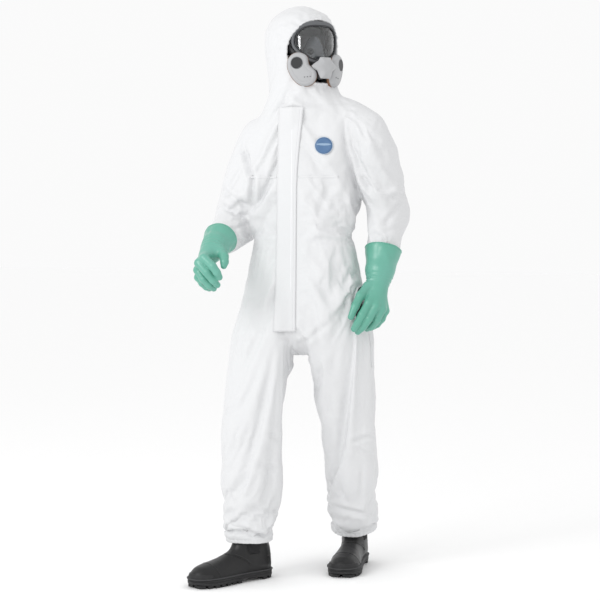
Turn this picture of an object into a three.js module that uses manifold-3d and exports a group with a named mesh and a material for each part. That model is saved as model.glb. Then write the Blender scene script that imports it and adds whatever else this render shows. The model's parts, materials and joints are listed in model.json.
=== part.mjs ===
// Chemical protective suit, worn size L, standing in a walking pose: a hooded coverall of thin
// laminate, a full-face respirator with two side filters, gauntlet gloves and slip-on safety boots.
// Millimetres, +Z up. The suit faces -Y, and the wearer's left is +X. Each limb is built between
// two joint centres, so a changed centre or girth carries everything that hangs on it.
import * as THREE from "three";
import { mergeVertices } from "three/addons/utils/BufferGeometryUtils.js";
import Module from "manifold-3d";

const wasm = await Module();
wasm.setup();

// ---------------------------------------------------------------- driving dimensions
const CLOTH = 2; // wall of every coverall shell
const GAP = 0.5; // clearance between pieces that touch
const LIMB_SIDES = 12;
const TORSO_SIDES = 22;
const FAR = 3000; // beyond every piece
const at = (x, y, z) => new THREE.Vector3(x, y, z);

// joint centres of the pose, wearer's right arm forward, right leg forward. Across runs to the
// thumb's side of the hand, and curl is how far the fingers close
const SHOULDER_HALF = 212;
const HIP_HALF = 97;
const ARMS = {
  right: {
    shoulder: at(-SHOULDER_HALF, 0, 1425),
    elbow: at(-224, -28, 1150),
    wrist: at(-216, -254, 1039),
    knuckle: at(-236, -311, 980),
    across: at(0.86, -0.3, 0.1),
    curl: 1,
  },
  left: {
    shoulder: at(SHOULDER_HALF, 0, 1425),
    elbow: at(256, 104, 1192),
    wrist: at(252, -12, 938),
    knuckle: at(236, -58, 850),
    across: at(-0.55, -0.8, 0.2),
    curl: 0.45,
  },
};
const LEGS = {
  right: { hip: at(-HIP_HALF, 0, 905), knee: at(-152, -113, 483), ankle: at(-137, -129, 100), toeOut: -30 },
  left: { hip: at(HIP_HALF, 0, 905), knee: at(112, 102, 480), ankle: at(105, 203, 100), toeOut: 7 },
};
const HEAD_TURN = 52; // degrees towards the wearer's left
const NECK_Z = 1512;

// girths, as radii
const SHOULDER_R = 68;
const SLEEVE_R = 60;
const CUFF_R = 34;
const GAUNTLET_R = 58;
const WRIST_R = 38;
const THIGH_TOP_R = 76;
const THIGH_R = 104;
const KNEE_R = 90;
const CALF_R = 88;
const HEM_R = 64;
const HEM_OVAL = 1.2; // front to back over side to side
const HEM_CLEAR = 32; // hem above the ankle joint

// travel of the flexing joints, degrees either side of the pose
const ELBOW_TRAVEL = [-45, 50];
const KNEE_TRAVEL = [-3, 60];
const WRIST_TRAVEL = [-25, 25];
const ANKLE_TRAVEL = [-8, 8];

// the front closure runs straight, from the crotch to the neck
const ZIP_BOTTOM_Z = 800;
const ZIP_TOP_Z = 1490;
const FRONT_LOW_Y = -124;
const FRONT_TOP_Y = -108;
const ZIP_HALF = 10;
const FLAP = { from: -54, to: 12, standoff: 10, thick: 1.6, bottomZ: 786, topZ: 1448 };

// boots
const BOOT = { toe: 232, heel: 76, halfBall: 54, soleTop: 26, lug: 6, top: 158, leather: 4 };

// respirator, in the head's own frame
const MASK = { z: 1668, lensR: 92, lensThick: 2.5, halfWidth: 76, top: 1766, bottom: 1606 };
const FILTER = { length: 112, width: 84, depth: 32, tilt: 38, out: 61, forward: 82, z: 1610, yaw: 36 };

const colours = {
  cloth: 0xf2f2f3, elastic: 0xe6e6e8, zip: 0xf4f4f5, badge: 0x4f7fae, glove: 0x5fb593, rubber: 0x3c3e41,
  shell: 0xa6a8ab, frame: 0x77797c, lens: 0xdfe6ea, nose: 0x6c6e71, leather: 0x242425, sole: 0x1b1b1c,
  steel: 0x9a9ca0, gore: 0x2a2a2b, insole: 0x55565a, filterMedia: 0xb9bbbd, valve: 0x2f3032,
};
const looks = {
  cloth: [0.8, 0], elastic: [0.85, 0], zip: [0.5, 0], badge: [0.5, 0], glove: [0.38, 0], rubber: [0.6, 0],
  shell: [0.45, 0], frame: [0.4, 0], lens: [0.05, 0], nose: [0.5, 0], leather: [0.5, 0], sole: [0.7, 0],
  steel: [0.35, 1], gore: [0.9, 0], insole: [0.9, 0], filterMedia: [0.9, 0], valve: [0.6, 0],
};
const materials = Object.fromEntries(
  Object.entries(colours).map(([slot, color]) => {
    const [roughness, metalness] = looks[slot];
    return [slot, new THREE.MeshStandardMaterial({ color, roughness, metalness })];
  }),
);

const rad = THREE.MathUtils.degToRad;

// ---------------------------------------------------------------- solids
// A closed geometry as a manifold solid, with coincident vertices merged.
function solid(geometry) {
  const bare = geometry.index ? geometry.toNonIndexed() : geometry.clone();
  for (const name of Object.keys(bare.attributes)) if (name !== "position") bare.deleteAttribute(name);
  const merged = mergeVertices(bare, 1e-3);
  return new wasm.Manifold(
    new wasm.Mesh({
      numProp: 3,
      vertProperties: merged.attributes.position.array,
      triVerts: new Uint32Array(merged.index.array),
    }),
  );
}

function geometryOf(made) {
  const mesh = made.getMesh();
  const geometry = new THREE.BufferGeometry();
  geometry.setAttribute("position", new THREE.BufferAttribute(new Float32Array(mesh.vertProperties), 3));
  geometry.setIndex(new THREE.BufferAttribute(new Uint32Array(mesh.triVerts), 1));
  return geometry;
}

function box(low, high) {
  const size = high.clone().sub(low);
  const middle = low.clone().add(high).multiplyScalar(0.5);
  return solid(new THREE.BoxGeometry(size.x, size.y, size.z).translate(middle.x, middle.y, middle.z));
}

// The part of a solid inside a box.
const within = (made, low, high) => made.intersect(box(low, high));

// The frame whose +Y runs along a direction and whose +X lies as near as can be to a given one.
function alignY(direction, nearX = at(1, 0, 0)) {
  const y = direction.clone().normalize();
  const z = nearX.clone().cross(y).normalize();
  const x = y.clone().cross(z);
  return new THREE.Matrix4().makeBasis(x, y, z);
}

// A tube of revolution from one point towards another. Stations are [distance, outer radius].
function tube(from, to, stations, wall = CLOTH, sides = LIMB_SIDES, oval = 1) {
  const outer = stations.map(([s, r]) => new THREE.Vector2(r, s));
  const inner = stations.map(([s, r]) => new THREE.Vector2(Math.max(r - wall, 0), s)).reverse();
  const profile = [...outer, ...inner, outer[0].clone()];
  return placed(new THREE.LatheGeometry(profile, sides).scale(1, 1, oval), from, to);
}

function placed(geometry, from, to, nearX) {
  const matrix = alignY(to.clone().sub(from), nearX).setPosition(from);
  return outward(solid(geometry.applyMatrix4(matrix)), geometry);
}

// The solid, turned right side out if its profile ran the other way.
function outward(made, geometry) {
  if (made.volume() > 0) return made;
  const flipped = geometry.clone();
  const order = flipped.index.array;
  for (let i = 0; i < order.length; i += 3) [order[i + 1], order[i + 2]] = [order[i + 2], order[i + 1]];
  return solid(flipped);
}

// The space that a limb of that radius sweeps as it turns about an axis, as one prism along the axis.
function sweep(pivot, axis, direction, radius, [low, high], reach = 400, halfWidth = 200) {
  const z = axis.clone().normalize();
  const x = direction.clone().addScaledVector(z, -direction.dot(z)).normalize();
  const y = z.clone().cross(x);
  const polar = (r, degrees) => new THREE.Vector2(r * Math.cos(rad(degrees)), r * Math.sin(rad(degrees)));
  const points = [];
  const strip = (degrees, side) => polar(reach, degrees).add(polar(radius * side, degrees + 90));
  points.push(strip(high, 1));
  const turn = 180 - (high - low);
  const steps = 10;
  for (let i = 0; i <= steps; i++) points.push(polar(radius, high + 90 + (turn * i) / steps));
  points.push(strip(low, -1));
  points.push(polar(reach * 1.1, low), polar(reach * 1.2, (low + high) / 2), polar(reach * 1.1, high));
  const geometry = new THREE.ExtrudeGeometry(new THREE.Shape(points), {
    depth: 2 * halfWidth,
    bevelEnabled: false,
    steps: 1,
  });
  geometry.translate(0, 0, -halfWidth);
  geometry.applyMatrix4(new THREE.Matrix4().makeBasis(x, y, z).setPosition(pivot));
  return solid(geometry);
}

// A closed shell or solid through rings of points. Rings run bottom to top, each counter-clockwise
// seen from above. With inner rings it is a shell open at both ends; without, it is capped.
function loft(outer, inner = null) {
  const positions = [];
  const push = (...points) => points.forEach((p) => positions.push(p.x, p.y, p.z));
  const sides = outer[0].length;
  const quad = (a, b, c, d) => push(a, b, c, a, c, d);
  const wall = (rings, out) => {
    for (let k = 0; k + 1 < rings.length; k++)
      for (let i = 0; i < sides; i++) {
        const j = (i + 1) % sides;
        if (out) quad(rings[k][i], rings[k][j], rings[k + 1][j], rings[k + 1][i]);
        else quad(rings[k][j], rings[k][i], rings[k + 1][i], rings[k + 1][j]);
      }
  };
  const rim = (a, b) => {
    for (let i = 0; i < sides; i++) {
      const j = (i + 1) % sides;
      quad(a[i], a[j], b[j], b[i]);
    }
  };
  const cap = (ring, up) => {
    const middle = ring.reduce((sum, p) => sum.add(p), at(0, 0, 0)).multiplyScalar(1 / sides);
    for (let i = 0; i < sides; i++) {
      const j = (i + 1) % sides;
      if (up) push(middle, ring[i], ring[j]);
      else push(middle, ring[j], ring[i]);
    }
  };
  wall(outer, true);
  if (inner) {
    wall(inner, false);
    rim(outer.at(-1), inner.at(-1));
    rim(inner[0], outer[0]);
  } else {
    cap(outer[0], false);
    cap(outer.at(-1), true);
  }
  const geometry = new THREE.BufferGeometry();
  geometry.setAttribute("position", new THREE.Float32BufferAttribute(positions, 3));
  return solid(geometry);
}

// A rounded ring, level at height z: half width, depth to the front and to the back of its centre.
function ring(z, halfWidth, front, back, centre = at(0, 0, 0), sides = TORSO_SIDES, power = 2.3) {
  const bend = 2 / power;
  return Array.from({ length: sides }, (_, i) => {
    const a = (2 * Math.PI * i) / sides;
    const c = Math.cos(a);
    const s = Math.sin(a);
    const x = Math.sign(c) * Math.abs(c) ** bend * halfWidth;
    const y = Math.sign(s) * Math.abs(s) ** bend * (s > 0 ? back : front);
    return at(centre.x + x, centre.y + y, z);
  });
}

// ---------------------------------------------------------------- the assembly
const suit = new THREE.Group();
const pieces = {};

function add(name, slot, made, group = suit) {
  const mesh = new THREE.Mesh(geometryOf(made), materials[slot]);
  mesh.name = name;
  group.add(mesh);
  pieces[name] = made;
  return made;
}

// ---------------------------------------------------------------- coverall: body
const frontY = (z) =>
  THREE.MathUtils.mapLinear(z, ZIP_BOTTOM_Z, ZIP_TOP_Z, FRONT_LOW_Y, FRONT_TOP_Y);
// height, half width, half depth
const BODY = [
  [896, 193, 124],
  [1000, 172, 120],
  [1075, 155, 113],
  [1180, 156, 120],
  [1290, 157, 125],
  [1385, 157, 121],
  [1440, 150, 113],
  [1478, 122, 108],
  [1500, 102, 105],
];
const bodyRing = ([z, halfWidth, halfDepth], inset) =>
  ring(z, halfWidth - inset, halfDepth - inset, halfDepth - inset, at(0, frontY(z) + halfDepth, 0));
const bodyShell = (out, inset) =>
  loft(BODY.map((s) => bodyRing(s, out)), BODY.map((s) => bodyRing(s, inset)));
const SIDE_SEAM_Y = 3;
const ARMHOLE = { r: 54, z: 1412, from: 112 };
const BADGE_R = 28.5;

function body() {
  const hole = new THREE.CylinderGeometry(ARMHOLE.r, ARMHOLE.r, 2 * FAR, LIMB_SIDES).rotateZ(Math.PI / 2);
  const holes = solid(hole.translate(0, 0, ARMHOLE.z)).subtract(
    box(at(-ARMHOLE.from, -FAR, -FAR), at(ARMHOLE.from, FAR, FAR)),
  );
  const shell = bodyShell(0, CLOTH).subtract(holes);
  const front = SIDE_SEAM_Y - GAP / 2;
  add("front_panel_left", "cloth", within(shell, at(ZIP_HALF + GAP, -FAR, -FAR), at(FAR, front, FAR)));
  add("front_panel_right", "cloth", within(shell, at(-FAR, -FAR, -FAR), at(-ZIP_HALF - GAP, front, FAR)));
  add("back_panel", "cloth", within(shell, at(-FAR, SIDE_SEAM_Y + GAP / 2, -FAR), at(FAR, FAR, FAR)));
  const band = bodyShell(CLOTH + GAP, CLOTH + GAP + 1.5);
  const half = 14;
  const waist = BODY[2][0];
  add("waist_elastic", "elastic", within(band, at(-FAR, SIDE_SEAM_Y, waist - half), at(FAR, FAR, waist + half)));
}

// The strip between the legs, hanging from the front and back panels.
function crotch() {
  const half = 6;
  const top = BODY[0][0] - GAP;
  const front = frontY(top) + 1;
  const back = front + 2 * BODY[0][2] - 2;
  const low = 748;
  const curve = (inset) =>
    new THREE.CubicBezierCurve(
      new THREE.Vector2(front + inset, top),
      new THREE.Vector2(front + inset, low + inset * 1.4 - 40),
      new THREE.Vector2(back - inset, low + inset * 1.4 - 40),
      new THREE.Vector2(back - inset, top),
    ).getPoints(10);
  const outline = new THREE.Shape([...curve(0), ...curve(CLOTH * 1.5).reverse()]);
  const geometry = new THREE.ExtrudeGeometry(outline, { depth: 2 * half, bevelEnabled: false });
  // the shape's x is the suit's y, and its y is the suit's z
  const matrix = new THREE.Matrix4().makeBasis(at(0, 1, 0), at(0, 0, 1), at(1, 0, 0)).setPosition(-half, 0, 0);
  add("crotch_gusset", "cloth", solid(geometry.applyMatrix4(matrix)));
}

// ---------------------------------------------------------------- coverall: front closure
const zipLean = Math.atan2(FRONT_TOP_Y - FRONT_LOW_Y, ZIP_TOP_Z - ZIP_BOTTOM_Z);

// A prism that stands on the zip line: its plan is drawn with y = 0 on the line, -y outwards.
function onFront(points, fromZ, toZ) {
  const geometry = new THREE.ExtrudeGeometry(new THREE.Shape(points), {
    depth: (toZ - fromZ) / Math.cos(zipLean),
    bevelEnabled: false,
  });
  geometry.rotateX(-zipLean);
  geometry.translate(0, frontY(fromZ), fromZ);
  return solid(geometry);
}
const plan = (x0, x1, y0, y1) => [
  new THREE.Vector2(x0, y0), new THREE.Vector2(x1, y0), new THREE.Vector2(x1, y1), new THREE.Vector2(x0, y1),
];

function closure() {
  const tapeTop = ZIP_TOP_Z + 6;
  const tapeBottom = BODY[0][0] + 2;
  add("zip_tape", "zip", onFront(plan(-ZIP_HALF, ZIP_HALF, 0.2, 1.8), tapeBottom, tapeTop));
  add("zip_chain", "zip", onFront(plan(-2.2, 2.2, -1.8, -0.2), tapeBottom + 2, tapeTop - 2));

  const slider = { half: 4, length: 13, out: 4.6, z: ZIP_TOP_Z - 13 };
  const channel = onFront(plan(-2.2 - 0.4, 2.2 + 0.4, -2.2, 2), slider.z - 5, slider.z + 30);
  const bodyOfSlider = onFront(plan(-slider.half, slider.half, -slider.out, -0.1), slider.z, slider.z + slider.length);
  add("zip_slider", "zip", bodyOfSlider.subtract(channel));
  const pull = onFront(plan(-3, 3, -slider.out - 1.7, -slider.out - 0.4), slider.z - 20, slider.z + 8);
  const eye = onFront(plan(-1.4, 1.4, -slider.out - 3, -slider.out), slider.z - 17, slider.z - 11);
  add("zip_puller", "zip", pull.subtract(eye));

  // the flap is bowed across like the chest behind it, and stands clear of the slider under it
  const strip = (out) =>
    [0, 0.25, 0.5, 0.75, 1].map((t) => {
      const x = THREE.MathUtils.lerp(FLAP.from, FLAP.to, t);
      return new THREE.Vector2(x, -out + (x * x) / 420);
    });
  const outline = [...strip(FLAP.standoff + FLAP.thick), ...strip(FLAP.standoff).reverse()];
  add("storm_flap", "cloth", onFront(outline, FLAP.bottomZ, FLAP.topZ));
}

function badge() {
  const spot = at(99, 0, 1372);
  const s = BODY[5];
  const bow = 1 - Math.abs(spot.x / s[1]) ** 2.3;
  spot.y = frontY(spot.z) + s[2] * (1 - bow ** (1 / 2.3)) - 2.4;
  const facing = new THREE.Matrix4().makeBasis(at(0.86, 0.51, 0), at(0.51, -0.86, 0), at(0, 0, 1).negate());
  const flat = new THREE.CylinderGeometry(BADGE_R, BADGE_R, 1, 24).applyMatrix4(facing);
  add("chest_badge", "badge", solid(flat.translate(spot.x, spot.y, spot.z)));
}

// ---------------------------------------------------------------- coverall: sleeves
function dome(r, steps = 4) {
  return Array.from({ length: steps }, (_, i) => {
    const a = (Math.PI / 2) * (i / steps);
    return [-r * Math.cos(a), i ? r * Math.sin(a) : 0];
  });
}
// The open ball end of a lower segment, centred on its joint.
const collar = (r) => [[-0.42 * r, 0.907 * r], [-0.2 * r, 0.98 * r], [0, r]];

const hinge = {}; // joint axes, used by the pieces that turn about them
function sleeve(side, { shoulder, elbow, wrist, knuckle, across, curl }) {
  const upper = shoulder.distanceTo(elbow);
  const lower = elbow.distanceTo(wrist);
  const upperDirection = elbow.clone().sub(shoulder);
  const lowerDirection = wrist.clone().sub(elbow);
  const axis = upperDirection.clone().cross(lowerDirection).normalize();
  hinge[`elbow_${side}`] = axis;

  const armhole = BODY[4][1] + 2;
  const x = [Math.sign(shoulder.x) * armhole, Math.sign(shoulder.x) * FAR].sort((a, b) => a - b);
  const stations = [...dome(SHOULDER_R), [0, SHOULDER_R], [90, SLEEVE_R + 3], [upper, SLEEVE_R]];
  const cutter = sweep(elbow, axis, lowerDirection, SLEEVE_R - 2 + 3, ELBOW_TRAVEL);
  const upperTube = within(tube(shoulder, elbow, stations), at(x[0], -FAR, -FAR), at(x[1], FAR, FAR));
  add(`upper_sleeve_${side}`, "cloth", upperTube.subtract(cutter));

  const forearm = [...collar(SLEEVE_R - 2), [lower * 0.3, SLEEVE_R - 2], [lower * 0.62, GAUNTLET_R - 9],
    [lower * 0.78, CUFF_R + 5]];
  add(`forearm_sleeve_${side}`, "cloth", tube(elbow, wrist, forearm));
  add(`wrist_elastic_${side}`, "elastic",
    tube(elbow, wrist, [[lower * 0.78 + GAP, CUFF_R + 4], [lower * 0.86, CUFF_R]], 2.4));

  glove(side, wrist, lowerDirection, knuckle, across, lower, curl);
}

// ---------------------------------------------------------------- gloves
// The gauntlet goes over the sleeve; the hand turns in its narrow end.
function glove(side, wrist, direction, knuckle, across, lower, curl) {
  const back = wrist.clone().addScaledVector(direction.clone().normalize(), -lower);
  const rubber = 1.6;
  const gauntlet = tube(back, wrist, [
    [lower * 0.57, GAUNTLET_R],
    [lower * 0.6, GAUNTLET_R + 1],
    [lower * 0.8, (GAUNTLET_R + WRIST_R) / 2],
    [lower * 0.93, WRIST_R + 2],
    [lower, WRIST_R + 3],
  ], rubber);
  const hand = knuckle.clone().sub(wrist);
  const axis = across.clone().addScaledVector(hand.clone().normalize(), -across.dot(hand.clone().normalize()));
  axis.normalize();
  hinge[`wrist_${side}`] = axis;
  const ballR = WRIST_R - 1.5;
  add(`glove_gauntlet_${side}`, "glove", gauntlet.subtract(sweep(wrist, axis, hand, ballR + 1.2, WRIST_TRAVEL, 200, 80)));

  // in the hand's own frame: +Y to the knuckles, +X to the thumb side; the palm faces +Z or -Z
  const y = hand.clone().normalize();
  const frame = new THREE.Matrix4().makeBasis(axis, y, axis.clone().cross(y)).setPosition(wrist);
  const palmSide = side === "right" ? curl : -curl;
  const reach = hand.length();
  const section = (s, halfWidth, halfThick) =>
    Array.from({ length: 12 }, (_, i) => {
      const a = (2 * Math.PI * i) / 12;
      return at(halfWidth * Math.cos(a), s, -halfThick * Math.sin(a));
    });
  const plans = [
    [-0.35 * ballR, 0.93 * ballR, 0.93 * ballR],
    [0, ballR, 0.86 * ballR],
    [reach * 0.5, 43, 24],
    [reach * 0.95, 45, 19],
  ];
  const palm = loft(
    plans.map(([s, w, t]) => section(s, w, t)),
    plans.map(([s, w, t], i) => section(s - (i === 3 ? rubber : 0), w - rubber, t - rubber)),
  );
  const end = loft([section(reach * 0.95 - 2, 44.6, 18.6), section(reach + 3, 42, 15)]);
  let made = palm.add(end);
  const fingerR = 11;
  for (let i = 0; i < 4; i++) {
    const x = 31 - i * 20.5;
    const length = [40, 44, 40, 31][i];
    made = made.add(finger(at(x, reach - 4, 0), at(x * 0.92, reach + length * 0.8, palmSide * length * 0.42), fingerR));
    made = made.add(
      finger(
        at(x * 0.92, reach + length * 0.8, palmSide * length * 0.42),
        at(x * 0.82, reach + length * 1.25, palmSide * length * 1.28),
        fingerR - 1.5,
      ),
    );
  }
  made = made.add(finger(at(36, reach * 0.38, palmSide * 8), at(58, reach * 0.85, palmSide * 26), 13));
  made = made.add(finger(at(58, reach * 0.85, palmSide * 26), at(56, reach * 1.2, palmSide * 38), 11));
  const geometry = geometryOf(made).applyMatrix4(frame);
  add(`glove_hand_${side}`, "glove", outward(solid(geometry), geometry));
}

// One finger bone with round ends.
function finger(from, to, r) {
  const bone = to.clone().sub(from);
  const geometry = new THREE.CapsuleGeometry(r, bone.length(), 2, 6).translate(0, bone.length() / 2, 0);
  return solid(geometry.applyMatrix4(alignY(bone, at(0.97, 0.1, 0.2)).setPosition(from)));
}

// ---------------------------------------------------------------- coverall: legs
function leg(side, { hip, knee, ankle, toeOut }) {
  const thigh = hip.distanceTo(knee);
  const shin = knee.distanceTo(ankle);
  const thighDirection = knee.clone().sub(hip);
  const shinDirection = ankle.clone().sub(knee);
  const axis = at(1, 0, 0);
  hinge[`knee_${side}`] = axis;
  const crotchGap = 8;
  const medial = Math.sign(hip.x) > 0 ? [crotchGap, FAR] : [-FAR, -crotchGap];
  const stations = [[-18, THIGH_TOP_R - 2], [0, THIGH_TOP_R], [80, THIGH_TOP_R + 8], [170, THIGH_R],
    [thigh * 0.7, KNEE_R + 8], [thigh, KNEE_R + 5]];
  const cutter = sweep(knee, axis, shinDirection, KNEE_R, KNEE_TRAVEL);
  const thighTube = tube(hip, knee, stations);
  add(`thigh_${side}`, "cloth",
    within(thighTube, at(medial[0], -FAR, -FAR), at(medial[1], FAR, FAR)).subtract(cutter));

  const boot = bootSolid(ankle, toeOut, 4);
  const hemAt = shin - HEM_CLEAR;
  const calf = [...collar(KNEE_R - 6), [shin * 0.35, CALF_R], [shin * 0.72, CALF_R], [shin * 0.87, CALF_R - 6],
    [hemAt - 12, HEM_R * HEM_OVAL]];
  let calfTube = tube(knee, ankle, calf);
  let hem = tube(knee, ankle, [[hemAt - 12 + GAP, HEM_R + 3], [hemAt, HEM_R]], 2.4, LIMB_SIDES, HEM_OVAL);
  for (const share of [-1, -0.5, 0, 0.5, 1]) {
    const degrees = share * ANKLE_TRAVEL[1];
    const turned = turnedAbout(boot, ankle, axis, degrees);
    calfTube = calfTube.subtract(turned);
    hem = hem.subtract(turned);
  }
  add(`shin_${side}`, "cloth", calfTube);
  add(`ankle_elastic_${side}`, "elastic", hem);
  shoe(side, ankle, toeOut);
}

function turnedAbout(made, pivot, axis, degrees) {
  if (!degrees) return made;
  const matrix = new THREE.Matrix4()
    .makeTranslation(pivot.x, pivot.y, pivot.z)
    .multiply(new THREE.Matrix4().makeRotationAxis(axis, rad(degrees)))
    .multiply(new THREE.Matrix4().makeTranslation(-pivot.x, -pivot.y, -pivot.z));
  return solid(geometryOf(made).applyMatrix4(matrix));
}

// ---------------------------------------------------------------- boots
// The shaft stands inside the trouser hem with room to tilt.
const SHAFT = { half: HEM_R - 20, front: HEM_R * HEM_OVAL - 22.8, back: HEM_R * HEM_OVAL - 19.8 };
// height, half width, reach to the toe, reach to the heel
const LAST = [
  [BOOT.soleTop + GAP, BOOT.halfBall - 5, BOOT.toe - 5, BOOT.heel - 4],
  [52, BOOT.halfBall - 6, BOOT.toe - 8, BOOT.heel - 5],
  [70, BOOT.halfBall - 9, BOOT.toe - 26, BOOT.heel - 7],
  [84, BOOT.halfBall - 13, BOOT.toe - 84, BOOT.heel - 10],
  [104, SHAFT.half - 4, SHAFT.front + 38, SHAFT.back + 4],
  [122, SHAFT.half - 3, SHAFT.front + 6, SHAFT.back + 1],
  [BOOT.top, SHAFT.half, SHAFT.front, SHAFT.back],
];
const BOOT_SIDES = 16;
const lastRings = (inset, stations = LAST) =>
  stations.map(([z, half, toe, heel]) => ring(z, half - inset, toe - inset, heel - inset, at(0, 0, 0), BOOT_SIDES, 2.4));

function bootFrame(ankle, toeOut) {
  return new THREE.Matrix4().makeRotationZ(rad(toeOut)).setPosition(ankle.x, ankle.y, 0);
}
const inFrame = (made, frame) => solid(geometryOf(made).applyMatrix4(frame));
function bootSolid(ankle, toeOut, out) {
  return inFrame(loft(lastRings(-out)), bootFrame(ankle, toeOut));
}

function shoe(side, ankle, toeOut) {
  const frame = bootFrame(ankle, toeOut);
  const part = (name, slot, made) => add(`${name}_${side}`, slot, inFrame(made, frame));
  const lip = lastRings(BOOT.leather);
  part("boot_upper", "leather", loft(lastRings(0), lip));

  const inside = loft(lastRings(BOOT.leather + 2 * GAP));
  const hollow = loft(lastRings(BOOT.leather + GAP + 3));
  const capBack = -(BOOT.toe - 62);
  const room = [at(-FAR, -FAR, BOOT.soleTop + 7), at(FAR, capBack, FAR)];
  part("toe_cap", "steel", within(inside.subtract(hollow), ...room));
  const board = loft([
    ring(BOOT.soleTop + GAP, BOOT.halfBall - 10, BOOT.toe - 11, BOOT.heel - 10, at(0, 0, 0), BOOT_SIDES, 2.4),
    ring(BOOT.soleTop + 5, BOOT.halfBall - 11, BOOT.toe - 12, BOOT.heel - 11, at(0, 0, 0), BOOT_SIDES, 2.4),
  ]);
  part("insole", "insole", board);
  part("outsole", "sole", outsole());

  const patch = loft(lastRings(-2 * GAP - 1.2)).subtract(loft(lastRings(-2 * GAP))).subtract(loft(lastRings(-0.4)));
  for (const [name, low, high] of [["gore_outer", -FAR, -20], ["gore_inner", 20, FAR]])
    part(name, "gore", within(patch, at(low, -38, 96), at(high, 12, BOOT.top - 1)));
}

function outsole() {
  const slab = (z, inset) =>
    ring(z, BOOT.halfBall - inset, BOOT.toe - inset, BOOT.heel - inset, at(0, 0, 0), BOOT_SIDES, 2.5);
  let made = loft([slab(BOOT.lug, 1), slab(BOOT.soleTop - 8, 0), slab(BOOT.soleTop, 2)]);
  const waist = [at(-FAR, -45, -1), at(FAR, 8, BOOT.lug + 9)];
  made = made.subtract(box(...waist));
  const footprint = loft([slab(0, 2), slab(BOOT.lug + 2, 1)]);
  const pitch = 30;
  const rows = [];
  for (let y = -BOOT.toe + 6; y < -62; y += pitch) rows.push(y);
  for (let y = 14; y < BOOT.heel - 12; y += pitch) rows.push(y);
  for (const y of rows) {
    const bar = box(at(-FAR, y, 0), at(FAR, y + 18, BOOT.lug + 2));
    const groove = box(at(-5, -FAR, -1), at(5, FAR, BOOT.lug - 1));
    made = made.add(bar.intersect(footprint).subtract(groove));
  }
  return made;
}

// ---------------------------------------------------------------- hood and respirator
const head = new THREE.Group();
head.position.set(0, -4, 0);
head.rotation.z = rad(HEAD_TURN);
suit.add(head);

// height, half width, half depth, centre towards the back
const HOOD = [
  [NECK_Z, 98, 100, 4],
  [1560, 100, 108, 8],
  [1620, 106, 122, 12],
  [1690, 111, 134, 16],
  [1745, 109, 140, 18],
  [1785, 88, 114, 20],
  [1810, 48, 62, 22],
  [1820, 12, 14, 22],
];
const FACE = { z: 1668, halfHeight: 112, halfWidth: 90 };
const hoodRing = ([z, w, d, c], inset) =>
  ring(z, w - inset, d - inset, d - inset, at(0, c, 0), 18, 2.2);

function hood() {
  const outer = loft(HOOD.map((s) => hoodRing(s, 0)));
  const lowered = HOOD.map(([z, w, d, c], i) => [i ? z - CLOTH : z - 10, w, d, c]);
  const inner = loft(lowered.map((s) => hoodRing(s, CLOTH)));
  const opening = (grow) => {
    const ellipse = new THREE.CylinderGeometry(FACE.halfWidth + grow, FACE.halfWidth + grow, 400, 20);
    ellipse.scale(1, 1, (FACE.halfHeight + grow) / (FACE.halfWidth + grow));
    return solid(ellipse.translate(0, -200 - 40, FACE.z));
  };
  const shell = outer.subtract(inner);
  add("hood", "cloth", shell.subtract(opening(0)), head);
  const hemShell = loft(HOOD.map((s) => hoodRing(s, -2 * GAP - 2)), HOOD.map((s) => hoodRing(s, -2 * GAP)));
  add("face_elastic", "elastic", hemShell.intersect(opening(9)).subtract(opening(1)), head);
}

// A panel bent round the face: its outline seen from the front, between two radii.
function bent(outline, outerR, innerR, hole = null, sides = 24) {
  const profile = [
    [innerR, MASK.bottom - 60], [outerR, MASK.bottom - 60], [outerR, MASK.top + 30], [innerR, MASK.top + 30],
    [innerR, MASK.bottom - 60],
  ].map(([r, z]) => new THREE.Vector2(r, z));
  const tubeGeometry = new THREE.LatheGeometry(profile, sides).rotateX(Math.PI / 2);
  const mirror = geometryFacing(tubeGeometry);
  const prism = (shape) => {
    const geometry = new THREE.ExtrudeGeometry(shape, { depth: 200, bevelEnabled: false, curveSegments: 4 });
    return solid(geometry.rotateX(Math.PI / 2));
  };
  let made = mirror.intersect(prism(outline));
  if (hole) made = made.subtract(prism(hole));
  return made;
}
const geometryFacing = (geometry) => outward(solid(geometry), geometry);

// The lens outline: wide at the top, drawn in above the cheeks. Grow widens it all round.
function lensOutline(grow) {
  const w = MASK.halfWidth + grow;
  const top = MASK.top - 18 + grow;
  const bottom = MASK.bottom + 34 - grow;
  const shape = new THREE.Shape();
  shape.moveTo(-w * 0.55, bottom);
  shape.lineTo(w * 0.55, bottom);
  shape.quadraticCurveTo(w * 0.98, bottom + 6, w, bottom + 40);
  shape.quadraticCurveTo(w * 1.02, top - 16, w * 0.72, top);
  shape.quadraticCurveTo(0, top + 6, -w * 0.72, top);
  shape.quadraticCurveTo(-w * 1.02, top - 16, -w, bottom + 40);
  shape.quadraticCurveTo(-w * 0.98, bottom + 6, -w * 0.55, bottom);
  return shape;
}

// The seal reaches from the brow to under the chin.
function sealOutline(grow) {
  const w = MASK.halfWidth + grow;
  const shape = new THREE.Shape();
  shape.moveTo(-w * 0.42, MASK.bottom - 34 - grow);
  shape.lineTo(w * 0.42, MASK.bottom - 34 - grow);
  shape.quadraticCurveTo(w * 0.95, MASK.bottom - 10, w, MASK.bottom + 60);
  shape.quadraticCurveTo(w * 1.02, MASK.top - 20 + grow, w * 0.72, MASK.top - 6 + grow);
  shape.quadraticCurveTo(0, MASK.top + 4 + grow, -w * 0.72, MASK.top - 6 + grow);
  shape.quadraticCurveTo(-w * 1.02, MASK.top - 20 + grow, -w, MASK.bottom + 60);
  shape.quadraticCurveTo(-w * 0.95, MASK.bottom - 10, -w * 0.42, MASK.bottom - 34 - grow);
  return shape;
}

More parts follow.
